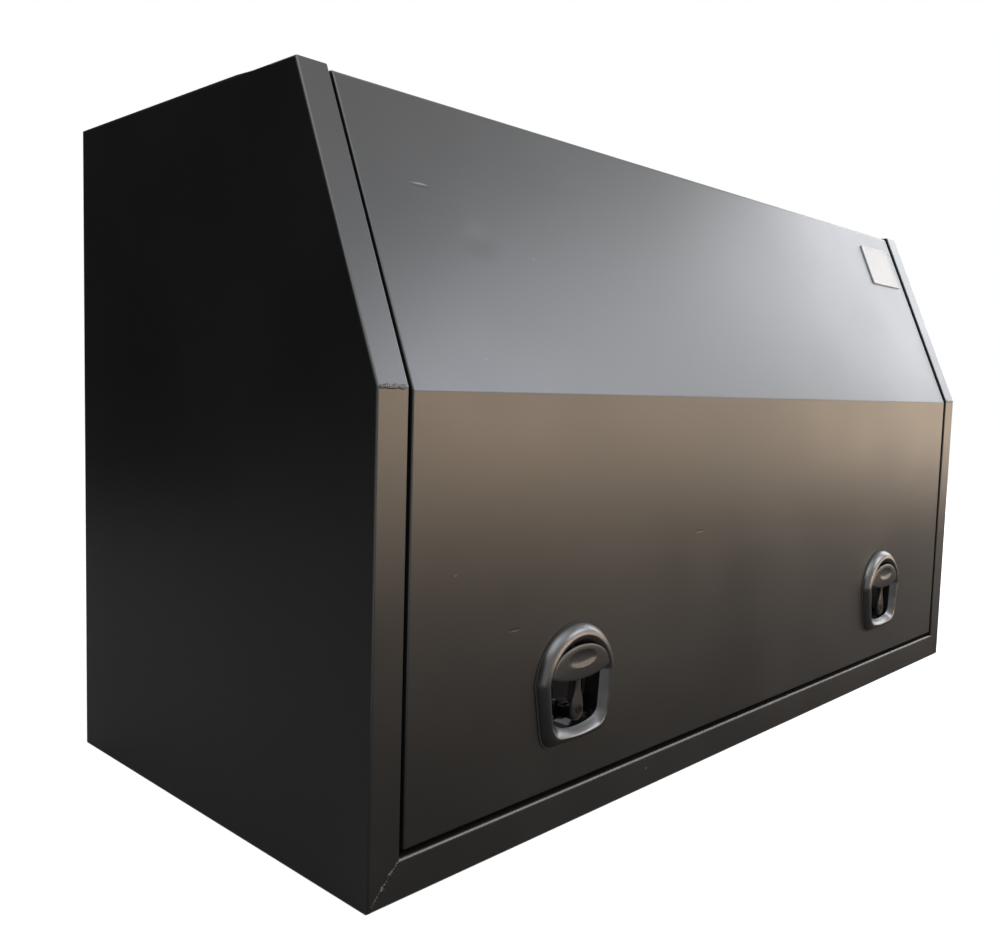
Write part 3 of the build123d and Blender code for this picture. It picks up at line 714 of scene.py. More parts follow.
@dataclass
class Carcass(Assembly):
    """Side panels with their stiles, welds, seal, brackets and the flat panels."""

    half_width: float = 0.700
    rear: float = 0.300
    stile: float = 0.038
    sill: float = 0.042
    frame_rear: float = -0.1265
    stop_depth: float = 0.0295
    stop_width: float = 0.014
    sheet: float = 0.0025
    bend: float = 0.0030
    inner_bend: float = 0.0020
    corner: float = 0.0016
    least_corner: float = 0.0004
    rim_run: float = 0.060
    rim_start: float = 0.02
    rivet_edge: float = 0.010
    rivet_pitch: float = 0.020
    seal_width: float = 0.012
    seal_height: float = 0.0027
    seal_corner: float = 0.002
    weld_width: float = 0.0042
    weld_height: float = 0.0008

    def build(self) -> None:
        """Builds both sides, the welds, the rivets and the seal, and dresses the panels."""
        for side in Side:
            self.side_panel(side)
            self.welds(side)
            self.rivets(side)
        self.seal()
        self.dress(SHEET, "floor_pan", "top_panel", "back_panel")
        self.dress(ZINC, "left_strut_bracket", "right_strut_bracket")

    def side_panel(self, side: Side) -> None:
        """One folded sheet: the wall, the stile, the jamb and the stop flange.

        The folds are parallels of the front's line at the (x, depth) places of a quarter circle at the outer
        fold, another at the inner fold, and the stop flange.  The lower ends follow the mitre, which rises by
        the sill's height over the stile's width.  The wall runs level from the first line to the rear, with a
        rim up to the top's level behind the frame.

        Args:
            side: Which side.
        """
        opening, wide, close = self.half_width - self.stile, self.bend, self.inner_bend
        turn = np.linspace(0, np.pi / 2, 7)
        outer = self.half_width - wide + wide * np.cos(turn), wide - wide * np.sin(turn)
        inner = opening + close - close * np.sin(turn), close - close * np.cos(turn)
        across = np.concatenate([outer[0], inner[0], [opening, opening - self.stop_width]])
        depth = np.concatenate([outer[1], inner[1], [self.stop_depth, self.stop_depth]])
        foot = (self.half_width - across) * self.sill / self.stile
        top_steps = 3
        shares = (np.linspace(0, 1, 10), np.linspace(0, 1, 10), np.linspace(0, 1, top_steps + 1))
        radius = np.maximum(self.corner - depth, self.least_corner)
        ends = np.full(len(across), self.frame_rear)
        lines = LINE.lines(np.repeat(depth[:, None], 3, axis=1), foot, ends, radius, shares)
        folds = raised(side.value * across[:, None], lines)
        edge = lines[0, :-top_steps]
        top_run = lines[0, -top_steps - 1:, 0]
        spread = np.concatenate([top_run, np.linspace(self.frame_rear, self.rear, 8)[1:]])
        spread = (spread - top_run[0]) / (self.rear - top_run[0])
        level = edge[:, :1] + (self.rear - edge[:, :1]) * spread
        height = np.broadcast_to(edge[:, 1:], level.shape)
        wall = np.stack([np.full(level.shape, side.value * self.half_width), level, height], axis=-1)
        base = wall[-1, top_steps:]
        rise = np.clip((base[:, 1:2] - self.frame_rear) / self.rim_run, self.rim_start, 1.0)
        rim = np.stack([base, base + wide * rise * (0.0, 0.0, 1.0)])
        work = Patchwork().grid(folds).grid(wall).grid(rim)
        piece = work.build(f"{side.word}_side_shell", [SHEET], (side.value, 0.0, 0.0))
        self.thicken(piece, self.sheet)
        self.hang(piece, "box", Slot.COAT, f"{side.word}_side_panel")

    def bead(self, work: Patchwork, start: Array, end: Array, out: Array, seed: float, scale: float,
             worn: float) -> None:
        """One weld: an ellipse carried along a line, half sunk, rippling, its ends drawn to nothing.

        Its height and its width each swell by sines of the way along, and its middle wanders by another.

        Args:
            work: Patchwork that the bead joins.
            start: First end.
            end: Last end.
            out: Direction that it stands in.
            seed: Shift of its ripples.
            scale: Share of the full height.
            worn: Most wear along it.
        """
        along = np.linspace(0, 1, 70)[:, None]
        round_way = np.linspace(0, 2 * np.pi, 16, endpoint=False)
        line, out = end - start, out / np.linalg.norm(out)
        flank = np.cross(line / np.linalg.norm(line), out)
        taper = np.sqrt(np.clip(1 - np.abs(2 * along - 1) ** 10, 0, 1))
        ripple = 1 + 0.18 * np.sin(95 * along + seed) + 0.12 * np.sin(37 * along + 2.1 * seed)
        width = self.weld_width / 2 * taper * (1 + 0.2 * np.sin(23 * along + 3.3 * seed))
        height = self.weld_height * scale * taper * ripple
        wander = 0.0004 * np.sin(17 * along + 1.7 * seed)
        aside = (width * np.cos(round_way) + wander)[:, :, None] * flank
        points = start + along[:, :, None] * line + aside + (height * np.sin(round_way))[:, :, None] * out
        wear = np.broadcast_to(worn * np.sin(11 * along + seed) ** 2, points.shape[:2])
        work.grid(points, (False, True), wear=wear)

    def welds(self, side: Side) -> None:
        """Welds across the stile at the break and along the lower mitre.

        Args:
            side: Which side.
        """
        outer = side.value * (self.half_width - self.bend)
        inner = side.value * (self.half_width - self.stile + self.inner_bend)
        slope_out = np.array([-LINE.up_slope[1], LINE.up_slope[0]])
        at_break = (LINE.front, LINE.break_height)
        break_out = np.array([0.0, -1.0 + slope_out[0], slope_out[1]])
        scale = 1.0 if side is Side.LEFT else 0.45
        work = Patchwork()
        start, end = np.array([outer, *at_break]), np.array([inner, *at_break])
        self.bead(work, start, end, break_out, 0.4, scale, 0.75)
        forward = np.array([0.0, -1.0, 0.0])
        start, end = np.array([outer, LINE.front, 0.0045]), np.array([inner, LINE.front, self.sill - 0.002])
        self.bead(work, start, end, forward, 3.1, scale * 1.1, 1.0)
        self.hang(work.build(f"{side.word}_welds", [WELD]), "box", Slot.COAT)

    def rivets(self, side: Side) -> None:
        """Domed rivet heads of the strut bracket: a low dome turned about x, four of them.

        Args:
            side: Which side.
        """
        low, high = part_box(f"{side.word}_strut_bracket")
        face = side.value * (self.half_width - self.sheet * 2)
        dome = smooth([(0.0, 0.0044), (0.0006, 0.0042), (0.0014, 0.0028), (0.0019, 0.0)], 8)
        dome = np.vstack([[(0.0, 0.0)], dome])
        work = Patchwork()
        for y in (low.y + self.rivet_edge, high.y - self.rivet_edge):
            for z in (high.z - self.rivet_edge, high.z - self.rivet_edge - self.rivet_pitch):
                work.grid(turned(dome, (face, y, z), (-side.value, 0, 0), 20), (False, True))
        self.hang(work.build(f"{side.word}_bracket_rivets", [ZINC]), "box", Slot.PLATED)

    def seal(self) -> None:
        """Rubber seal round the opening: a bulb section carried round the stop flanges.

        Across the strip, its height is the thickness times the root of one minus the sixth power of the
        distance from its middle, less shallow grooves.  The strip's own loop is the bent line up one side,
        over and down the other.
        """
        span = np.linspace(-1, 1, 17)
        height = self.seal_height * np.sqrt(1 - span**6) * (1 - 0.16 * np.cos(3 * np.pi * span) ** 2)
        share = np.concatenate([(span + 1) / 2, np.linspace(1, 0, 5)[1:-1]])
        height = np.concatenate([height, np.zeros(3)])
        margin = (self.stop_width - self.seal_width) / 2
        inset = margin + self.seal_width * share
        depth = self.stop_depth - height
        opening = self.half_width - self.stile
        shares = (np.linspace(0, 1, 12), np.linspace(0, 1, 10), np.linspace(0, 1, 3))
        radius = np.full(len(share), self.seal_corner)
        insets = np.repeat(depth[:, None], 3, axis=1)
        lines = LINE.lines(insets, self.sill + inset, self.frame_rear - inset, radius, shares)
        right = raised((opening - inset)[:, None], lines)
        left = right[:, ::-1] * (-1, 1, 1)
        run = np.linspace(0, 1, 20)[1:-1, None]
        over = right[:, -1:] + run * (left[:, :1] - right[:, -1:])
        under = left[:, -1:] + run * (right[:, :1] - left[:, -1:])
        loop = np.concatenate([right, over, left, under], axis=1)
        piece = Patchwork().grid(loop, (True, True)).build("door_seal_bulb", [RUBBER])
        self.hang(piece, "box", Slot.RUBBER, "door_seal")


# The lid

@dataclass
class Lid(Assembly):
    """Lid sheet with its returns and latch openings, its plate, its hats and its hinge."""

    half_width: float = 0.6565
    foot: float = 0.048
    rear: float = -0.1299
    insets: tuple[float, float, float] = (0.0014, 0.0024, 0.0035)
    return_depth: float = 0.0264
    break_radius: float = 0.006
    return_radius: float = 0.001
    bend: float = 0.0020
    sheet: float = 0.0025
    latch_x: float = LATCH_X
    latch_z: float = LATCH_Z
    window: float = 0.085
    window_steps: int = 24
    wave: float = 0.00002
    wave_fade: float = 0.05
    break_fade: float = 0.04
    opening_share: float = 0.72
    plate_half: tuple[float, float] = (0.058, 0.0385)
    plate_corner: float = 0.005
    plate_sunk: float = 0.0012

    def build(self) -> None:
        """Builds the sheet and the plate, and dresses the hats and the hinge."""
        self.skin()
        self.plate()
        self.dress(INNER_SHEET, "lid_hat_left", "lid_hat_centre", "lid_hat_right")
        self.dress(STEEL, "hinge_leaf_body", "hinge_leaf_lid", "hinge_pin")

    def columns(self) -> Array:
        """Places across the lid, close together at the latches."""
        near, far = self.latch_x - self.window, self.latch_x + self.window
        half = np.concatenate([
            np.linspace(0, near, 16)[:-1],
            np.linspace(near, far, self.window_steps + 1)[:-1],
            np.linspace(far, self.half_width, 10),
        ])
        return np.concatenate([-half[:0:-1], half])

    def waves(self, x: Array, line: Array) -> Array:
        """Depth of the sheet's faint waves: crossing sines, faded at the edges, the break and the latches.

        Args:
            x: Places across, n.
            line: The bent line, m by 2.

        Returns:
            Depths, m by n.
        """
        steps = np.linalg.norm(np.diff(line, axis=0), axis=1)
        along = np.concatenate([[0.0], np.cumsum(steps)])[:, None]
        bent = LINE.break_height - self.foot
        edge = np.minimum(self.half_width - np.abs(x), np.minimum(along, along[-1] - along))
        fade = np.clip(edge / self.wave_fade, 0, 1) * np.clip(np.abs(along - bent) / self.break_fade, 0, 1)
        off = np.maximum(np.abs(np.abs(x) - self.latch_x), np.abs(along + self.foot - self.latch_z))
        fade = fade * np.clip((off - self.window) / self.wave_fade, 0, 1)
        swell = np.sin(13.4 * x + 0.6) * np.sin(20.3 * along + 0.4) + 0.6 * np.sin(16.1 * (1.7 * x + along))
        return self.wave * fade * swell

    def skin(self) -> None:
        """The lid's sheet: the bent line carried across, with a return on each side and latch openings."""
        x, window = self.columns(), self.window
        outer_insets = np.array([self.insets])
        low, _ = LINE.knees(outer_insets)
        turn = math.acos(LINE.up_slope[1])
        bend_start = low[0, 1] - self.break_radius * math.tan(turn / 2)
        heights = np.concatenate([
            np.linspace(self.foot, self.latch_z - window, 4)[:-1],
            np.linspace(self.latch_z - window, self.latch_z + window, self.window_steps + 1),
            np.linspace(self.latch_z + window, bend_start, 14)[1:],
        ])
        upright = (heights - self.foot) / (bend_start - self.foot)
        shares = (upright, np.linspace(0, 1, 22), np.linspace(0, 1, 4))
        insets = np.vstack([outer_insets, np.full((1, 3), self.return_depth)])
        ends = np.array([self.foot, self.foot]), np.array([self.rear, self.rear])
        line, inner = LINE.lines(insets, *ends, np.array([self.break_radius, self.return_radius]), shares)
        tangent = np.gradient(line, axis=0)
        tangent /= np.linalg.norm(tangent, axis=1, keepdims=True)
        inward = np.stack([tangent[:, 1], -tangent[:, 0]], axis=-1)
        shifted = line[:, None] + self.waves(x, line)[..., None] * inward[:, None]
        face = raised(np.broadcast_to(x, shifted.shape[:2]), shifted)
        mid_x, mid_z = (x[1:] + x[:-1]) / 2, (line[1:, 1] + line[:-1, 1]) / 2
        across_hole = np.abs(np.abs(mid_x) - self.latch_x) < window
        up_hole = np.abs(mid_z - self.latch_z) < window
        work = Patchwork().grid(face, skip=across_hole[None] & up_hole[:, None])
        depth = np.linspace(0, 1, 4)[:, None, None]
        for side in Side:
            work.grid(raised(side.value * self.half_width, line + depth * (inner - line)))
            work.grid(self.opening(side))
        across = np.stack([x, np.full(len(x), line[0, 0]), np.full(len(x), self.foot)], axis=-1)
        work.grid(across + depth * np.array([0.0, inner[0, 0] - line[0, 0], 0.0]))
        across = np.stack([x, np.full(len(x), self.rear), np.full(len(x), line[-1, 1])], axis=-1)
        work.grid(across + depth * np.array([0.0, 0.0, inner[-1, 1] - line[-1, 1]]))
        piece = work.build("lid_shell", [LID_SHEET], (0.0, -1.0, 0.3))
        self.thicken(piece, self.sheet, self.bend)
        self.hang(piece, "lid", Slot.COAT, "lid_skin")

    def opening(self, side: Side) -> Array:
        """Sheet between a square of the lid's grid and the latch opening: rays from one to the other.

        Args:
            side: Which latch.

        Returns:
            Points, 4 by n by 3.
        """
        steps, window = self.window_steps, self.window
        run = np.linspace(-window, window, steps + 1)[:-1]
        flat = np.full(steps, window)
        sides = [(run, -flat), (flat, run), (-run, flat), (-flat, -run)]
        square = np.concatenate([np.stack(pair, -1) for pair in sides])
        square = np.vstack([square, square[:1]])
        rim = RING_LINE.outlines(np.array([self.opening_share]), np.array([0.0]))[0]
        angle = np.arctan2(rim[:, 1], rim[:, 0])
        order = np.argsort(angle)
        turn = np.arctan2(square[:, 1], square[:, 0])
        reach = np.interp(turn, angle[order], np.hypot(*rim[order].T), period=2 * np.pi)
        inner = square * (reach / np.hypot(*square.T))[:, None]
        rays = inner + np.linspace(0, 1, 4)[:, None, None] * (square - inner)
        y = np.full(rays.shape[:2], LINE.front + self.insets[0])
        return np.stack([rays[..., 0] + side.value * self.latch_x, y, rays[..., 1] + self.latch_z], axis=-1)

    def plate(self) -> None:
        """Bare plate on the slope: a rounded rectangle drawn in along (inset, height) steps."""
        low, high = (np.array(corner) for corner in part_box("badge_plate"))
        up = np.array([0.0, *LINE.up_slope])
        out = np.array([0.0, -LINE.up_slope[1], LINE.up_slope[0]])
        section = np.array([
            (0.058, 0.0), (0.0, 0.0), (0.0, 0.0014), (0.0003, 0.0021), (0.0010, 0.0024), (0.0028, 0.0024),
            (0.0034, 0.0021), (0.0040, 0.0019), (0.012, 0.0019), (0.025, 0.0019), (0.058, 0.0019),
        ])
        angle = np.linspace(0, 2 * np.pi, 96, endpoint=False) + 0.01
        corner = np.maximum(self.plate_corner - section[:, :1] * 0.6, 0.0006)
        half = [np.maximum(side - section[:, :1] - corner, 0.0) for side in self.plate_half]
        corner = np.where(section[:, :1] > 0.05, 0.0, corner)
        ring_x = half[0] * np.clip(3 * np.cos(angle), -1, 1) + corner * np.cos(angle)
        ring_z = half[1] * np.clip(3 * np.sin(angle), -1, 1) + corner * np.sin(angle)
        flat = ring_x[..., None] * np.array([1.0, 0.0, 0.0]) + ring_z[..., None] * up
        points = (low + high) / 2 + flat + (section[:, 1:, None] - self.plate_sunk) * out
        piece = Patchwork().grid(points, (False, True)).build("bare_plate", [PLATE], crisp=30)
        self.hang(piece, "lid", Slot.BADGE, "badge_plate")


# The latches

@dataclass(frozen=True)
class RingLine:
    """Outlines of a latch ring in (x, z) from its middle.

    Half, top, low and foot are the outer edge's half width, top, bottom and half of its foot.  A size that
    ends in _in is what the outline gives up from the outer edge to the opening.
    """

    half: float = 0.066
    half_in: float = 0.021
    top: float = 0.067
    top_in: float = 0.023
    low: float = -0.0665
    low_in: float = 0.016
    lip_drop: float = 0.004
    lip_share: float = 0.06
    foot: float = 0.053
    foot_in: float = 0.014
    flank_top: float = 0.008
    shoulder: float = 0.030
    shoulder_in: float = 0.021
    least_shoulder: float = 0.004
    corner: float = 0.019
    corner_in: float = 0.008
    least_corner: float = 0.003
    bow_start: float = -0.020
    bow_run: float = 0.030
    bow_rise: float = 0.0075
    bow_half: float = 0.040
    crown_steps: int = 21
    steps: int = 10

    def outlines(self, share: Array, grow: Array) -> Array:
        """A crown arc, a shoulder arc, a straight flank, a corner arc and a flat foot, mirrored.

        The shoulder arc's middle lies its radius inside the flank and inside the crown, which is one
        quadratic.  The corner arc's middle lies its radius inside the flank and above the foot.  Further in,
        the foot's ends are lifted with the square of x, which makes the foot a shallow bow.

        Args:
            share: Share of the way in over the ring's width, k.
            grow: Outward shift, k.

        Returns:
            Points (x, z), k by n by 2.
        """
        s, g = share[:, None], grow[:, None]
        half, top = self.half - self.half_in * s + g, self.top - self.top_in * s + g
        lip = self.lip_drop * np.clip((s - 1) / self.lip_share, 0, 1)
        low = self.low + self.low_in * np.minimum(s, 1) - lip - g
        foot = self.foot - self.foot_in * s + g
        rise = top - self.flank_top
        crown = (half**2 + rise**2) / (2 * rise)
        middle = top - crown
        length = np.hypot(foot - half, low - self.flank_top)
        dx, dz = (foot - half) / length, (low - self.flank_top) / length
        nx, nz = dz, -dx
        bow = np.maximum(self.shoulder - self.shoulder_in * s, self.least_shoulder)
        qx, qz = half + bow * nx, self.flank_top + bow * nz - middle
        dot = qx * dx + qz * dz
        flank_start = -dot - np.sqrt(np.maximum(dot**2 - qx**2 - qz**2 + (crown - bow) ** 2, 0.0))
        bow_x, bow_z = qx + flank_start * dx, qz + flank_start * dz + middle
        crown_end, flank_angle = np.arctan2(bow_z - middle, bow_x), np.arctan2(-nz, -nx)
        corner = np.maximum(self.corner - self.corner_in * s + g, self.least_corner)
        flank_end = (low + corner - self.flank_top - corner * nz) / dz
        corner_x = half + flank_end * dx + corner * nx
        part = np.linspace(0, 1, self.steps + 1)[None, 1:]
        flank = flank_start + part * (flank_end - flank_start)
        first_arc = np.pi / 2 + np.linspace(0, 1, self.crown_steps + 1)[None] * (crown_end - np.pi / 2)
        bow_arc = crown_end + part * (flank_angle - crown_end)
        corner_arc = flank_angle + part * (-np.pi / 2 - flank_angle)
        parts = [
            (crown * np.cos(first_arc), middle + crown * np.sin(first_arc)),
            (bow_x + bow * np.cos(bow_arc), bow_z + bow * np.sin(bow_arc)),
            (half + flank * dx, self.flank_top + flank * dz),
            (corner_x + corner * np.cos(corner_arc), low + corner + corner * np.sin(corner_arc)),
            (corner_x * (1 - part), np.broadcast_to(low, (len(share), self.steps))),
        ]
        right = np.stack([np.concatenate(axis, axis=1) for axis in zip(*parts)], axis=-1)
        lower = np.clip((self.bow_start - right[..., 1]) / self.bow_run, 0, 1)
        right[..., 1] += lower * self.bow_rise * np.minimum(s, 1) * (right[..., 0] / self.bow_half) ** 2
        return np.concatenate([right, right[:, -2:0:-1] * (-1, 1)], axis=1)


RING_LINE = RingLine()


@dataclass
class Latch(Assembly):
    """One folding T-handle latch: ring and pan, handle, clamp nuts and the works behind."""

    side: Side
    x: float = LATCH_X
    face: float = -0.2986
    z: float = LATCH_Z
    pivot_drop: float = 0.036
    pivot_depth: float = 0.008
    bore: float = 0.0072
    wall: float = 0.002
    pan_depth: float = 0.019
    front_rows: int = 76
    gloss_rows: tuple[int, int] = (48, 96)
    cheek: float = 0.0016
    cheek_start: float = 0.46
    cheek_low: float = -0.020
    cheek_run: float = 0.035
    tail_middle: float = 0.02475
    tail_half: float = 0.050
    tail_rise: float = 0.01975
    tail_waist: float = -0.0115
    tail_rows: int = 61
    scoop_rows: int = 26
    scoop_height: float = 0.0285
    scoop_half: float = 0.024
    scoop_reach: tuple[float, float] = (0.009, 0.010)
    scoop_depth: float = 0.0022
    stem_top: float = 0.018
    stem_end: float = -0.033
    stem_cap: float = 0.0105
    stem_depth: float = -0.0035
    neck_end: float = -0.003
    neck_run: float = 0.023
    neck_half: float = 0.0046
    stem_swell: float = 0.0058
    stem_thick: float = 0.0045
    neck_thin: float = 0.0006
    lug_radius: float = 0.0068
    lug_front: float = -0.001
    lug_middle: float = 0.006
    nut_depth: float = 0.005
    nut_spots: tuple[tuple[float, float], ...] = ((0.0528, 0.010), (0.047, -0.040))

    def build(self) -> None:
        """Builds the ring, the handle and the fasteners, and dresses the works."""
        word = self.side.word
        self.ring()
        self.handle()
        self.nuts()
        self.dress(RUBBER, f"{word}_latch_gasket")
        self.dress(ZINC, f"{word}_latch_clamp", f"{word}_latch_cam", f"{word}_latch_cam_nut")
        self.dress(DARK_STEEL, f"{word}_latch_spindle", f"{word}_latch_pivot_pin")
        self.dress(BRASS, f"{word}_latch_key_plug")

    def seat(self, flat: Array, depth: Array) -> Array:
        """Places (x, z) from the latch's middle set at a depth behind the lid's face."""
        across, up = flat[..., 0] + self.side.value * self.x, flat[..., 1] + self.z
        return np.stack([across, np.broadcast_to(depth, flat.shape[:-1]) + self.face, up], axis=-1)

    def ring(self) -> None:
        """Ring, funnel and pan: outlines stacked along one closed section, down to the bore and back outside.

        The section's places are the share of the way in and the depth in millimetres.  A sine of the share
        fills the cheek between the crest and the opening, in the upper part only.
        """
        count = self.front_rows
        front = smooth([
            (0.0, -1.2), (0.03, -3.2), (0.09, -5.6), (0.18, -8.0), (0.28, -9.9), (0.39, -11.1),
            (0.48, -11.5), (0.58, -10.7), (0.74, -7.7), (0.90, -4.2), (0.985, -2.5), (1.03, -1.4),
            (1.055, 0.6), (1.075, 5.0), (1.12, 14.5), (1.15, 17.6), (1.24, 19.0),
        ], count)
        back = np.array([
            (1.24, 21.0), (1.15, 20.6), (1.09, 19.0), (1.05, 8.0), (1.0, 2.0), (1.0, -1.2), (0.5, -1.2),
        ])
        grow = np.concatenate([np.zeros(count), np.full(len(back) - 1, self.wall), [0.0]])
        section = np.vstack([front, back])
        shapes = RING_LINE.outlines(section[:, 0], grow)
        upper = np.clip((shapes[..., 1] - self.cheek_low) / self.cheek_run, 0, 1)
        inward = np.clip((section[:, :1] - self.cheek_start) / (1 - self.cheek_start), 0, 1)
        fill = self.cheek * np.sin(np.pi * inward)
        fill[count:] = 0.0
        rings = self.seat(shapes, section[:, 1:] * 0.001 - fill * upper)
        inside, outside = shapes[count - 1], shapes[count]
        hub = np.array([0.0, -self.pivot_drop])
        spokes = inside - hub
        bore = hub + self.bore * spokes / np.linalg.norm(spokes, axis=1, keepdims=True)
        share = np.linspace(0, 1, 9)[1:, None, None]
        floor = self.seat(inside + share * (bore - inside), self.pan_depth)
        back_share = (share - share[0]) / (1 - share[0])
        under = self.seat(bore + back_share * (outside - bore), self.pan_depth + self.wall)
        loop = np.concatenate([rings[:count], floor, under[:-1], rings[count:]])
        number = np.zeros(len(loop), int)
        number[slice(*self.gloss_rows)] = 1
        work = Patchwork().grid(loop, (True, True), number)
        piece = work.build(f"{self.side.word}_ring_and_pan", [RING, PAN])
        self.hang(piece, "lid", Slot.BEZEL, f"{self.side.word}_latch_bezel_pan")

    def handle(self) -> None:
        """Handle in one casting: a domed half-moon tail with a finger scoop, a pear-shaped stem and a lug."""
        work = Patchwork()
        for points in (self.tail(), self.stem(), self.lug()):
            work.grid(points, (False, True))
        piece = work.build(f"{self.side.word}_t_handle", [GRIP], crisp=50)
        self.hang(piece, f"{self.side.word}_latch_grip", Slot.HANDLE, f"{self.side.word}_latch_handle")

    def tail(self) -> Array:
        """Tail: a half moon drawn in towards its middle along a domed section.

        The half moon is half an ellipse over a shallow bow.  The section's places are the share of the half
        moon and the depth in millimetres.  The scoop's depth falls off with the third power of the distance
        from its middle.

        Returns:
            Points, m by n by 3.
        """
        section = smooth([
            (0.0, -12.1), (0.3, -12.05), (0.6, -11.85), (0.85, -11.5), (0.95, -11.1), (0.99, -10.4),
            (1.0, -9.6), (0.985, -8.7), (0.90, -6.6), (0.78, -4.1), (0.70, -3.8), (0.4, -3.8), (0.0, -3.8),
        ], self.tail_rows)
        over, under = np.linspace(0, np.pi, 70), np.linspace(-1, 1, 42)[1:-1]
        crest = self.tail_waist + (self.tail_rise - self.tail_waist) * np.sin(over) ** 0.94
        belly = -self.tail_rise + (self.tail_waist + self.tail_rise) * np.abs(under) ** 2.2
        shape = np.concatenate([
            np.stack([self.tail_half * np.cos(over), crest], -1),
            np.stack([self.tail_half * under, belly], -1),
        ])
        flat = section[:, :1, None] * shape + np.array([0.0, self.tail_middle])
        above = flat[..., 1] - self.scoop_height
        u, v = flat[..., 0] / self.scoop_half, above / np.where(above < 0, *self.scoop_reach)
        scoop = self.scoop_depth * np.clip(1 - (u**2 + v**2) ** 1.5, 0, 1)
        in_front = np.arange(self.tail_rows)[:, None] < self.scoop_rows
        return self.seat(flat, section[:, 1:] * 0.001 + np.where(in_front, scoop, 0.0))

    def stem(self) -> Array:
        """Stem: a rounded section carried down z, narrow at the neck, widest at the pivot.

        The section is a circle whose sine and cosine are raised to a power below one, which squares it a bit.

        Returns:
            Points, m by n by 3.
        """
        cap_angle = np.linspace(0, np.pi / 2, 14)[1:]
        straight = np.linspace(self.stem_top, self.stem_end, 40)
        down = np.concatenate([straight, self.stem_end - self.stem_cap * np.sin(cap_angle)])
        ease = np.clip((self.neck_end - down) / self.neck_run, 0, 1)
        width = self.neck_half + self.stem_swell * ease**2 * (3 - 2 * ease)
        past = np.clip((self.stem_end - down) / self.stem_cap, 0, 1)
        close = np.sqrt(np.clip(1 - past**2, 0, 1))
        thick = (self.stem_thick - self.neck_thin * (1 - ease)) * close**0.6
        angle = np.linspace(0, 2 * np.pi, 48, endpoint=False)
        lobe_x = np.sign(np.cos(angle)) * np.abs(np.cos(angle)) ** 0.8
        lobe_y = np.sign(np.sin(angle)) * np.abs(np.sin(angle)) ** 0.8
        across = (width * close)[:, None] * lobe_x
        flat = np.stack([across, np.broadcast_to(down[:, None], across.shape)], axis=-1)
        rings = self.seat(flat, self.stem_depth + thick[:, None] * lobe_y)
        cap = np.broadcast_to(rings[:1].mean(axis=1, keepdims=True), rings[:1].shape)
        return np.concatenate([cap, rings])

    def lug(self) -> Array:
        """Lug: a tongue with a round end about the pivot, carried across x with eased edges.

        Returns:
            Points, m by n by 3.
        """
        angle = np.linspace(-np.pi / 2, np.pi / 2, 24)
        radius = self.lug_radius
        arc = np.stack([self.pivot_depth + radius * np.cos(angle), radius * np.sin(angle)], axis=-1)
        loop = np.vstack([[(self.lug_front, -radius)], arc, [(self.lug_front, radius)]])
        middle = np.array([self.lug_middle, 0.0])
        section = np.array([
            (-0.005, 0.0), (-0.005, 0.92), (-0.0045, 1.0), (0.0045, 1.0), (0.005, 0.92), (0.005, 0.0),
        ])
        shape = middle + section[:, 1:, None] * (loop - middle)
        x = np.broadcast_to(section[:, :1], shape.shape[:2])
        return self.seat(np.stack([x, shape[..., 1] - self.pivot_drop], axis=-1), shape[..., 0])

    def nuts(self) -> None:
        """Four nuts on studs behind the clamp: a hexagon with an eased crown, and a round stud end."""
        back = self.face + self.nut_depth
        nut = np.array([(0.0, 0.0), (0.0, 0.0035), (0.0026, 0.0035), (0.0032, 0.0031), (0.0032, 0.0)])
        stud = np.array([(0.003, 0.0), (0.003, 0.0020), (0.0048, 0.0020), (0.0052, 0.0015), (0.0052, 0.0)])
        work = Patchwork()
        for across, up in self.nut_spots:
            for way in Side:
                spot = (self.side.value * self.x + way.value * across, back, self.z + up)
                work.grid(turned(nut, spot, (0, 1, 0), 24, 6), (False, True))
                work.grid(turned(stud, spot, (0, 1, 0), 20), (False, True))
        self.hang(work.build(f"{self.side.word}_clamp_nuts", [ZINC], crisp=25), "lid", Slot.PLATED)


# The struts

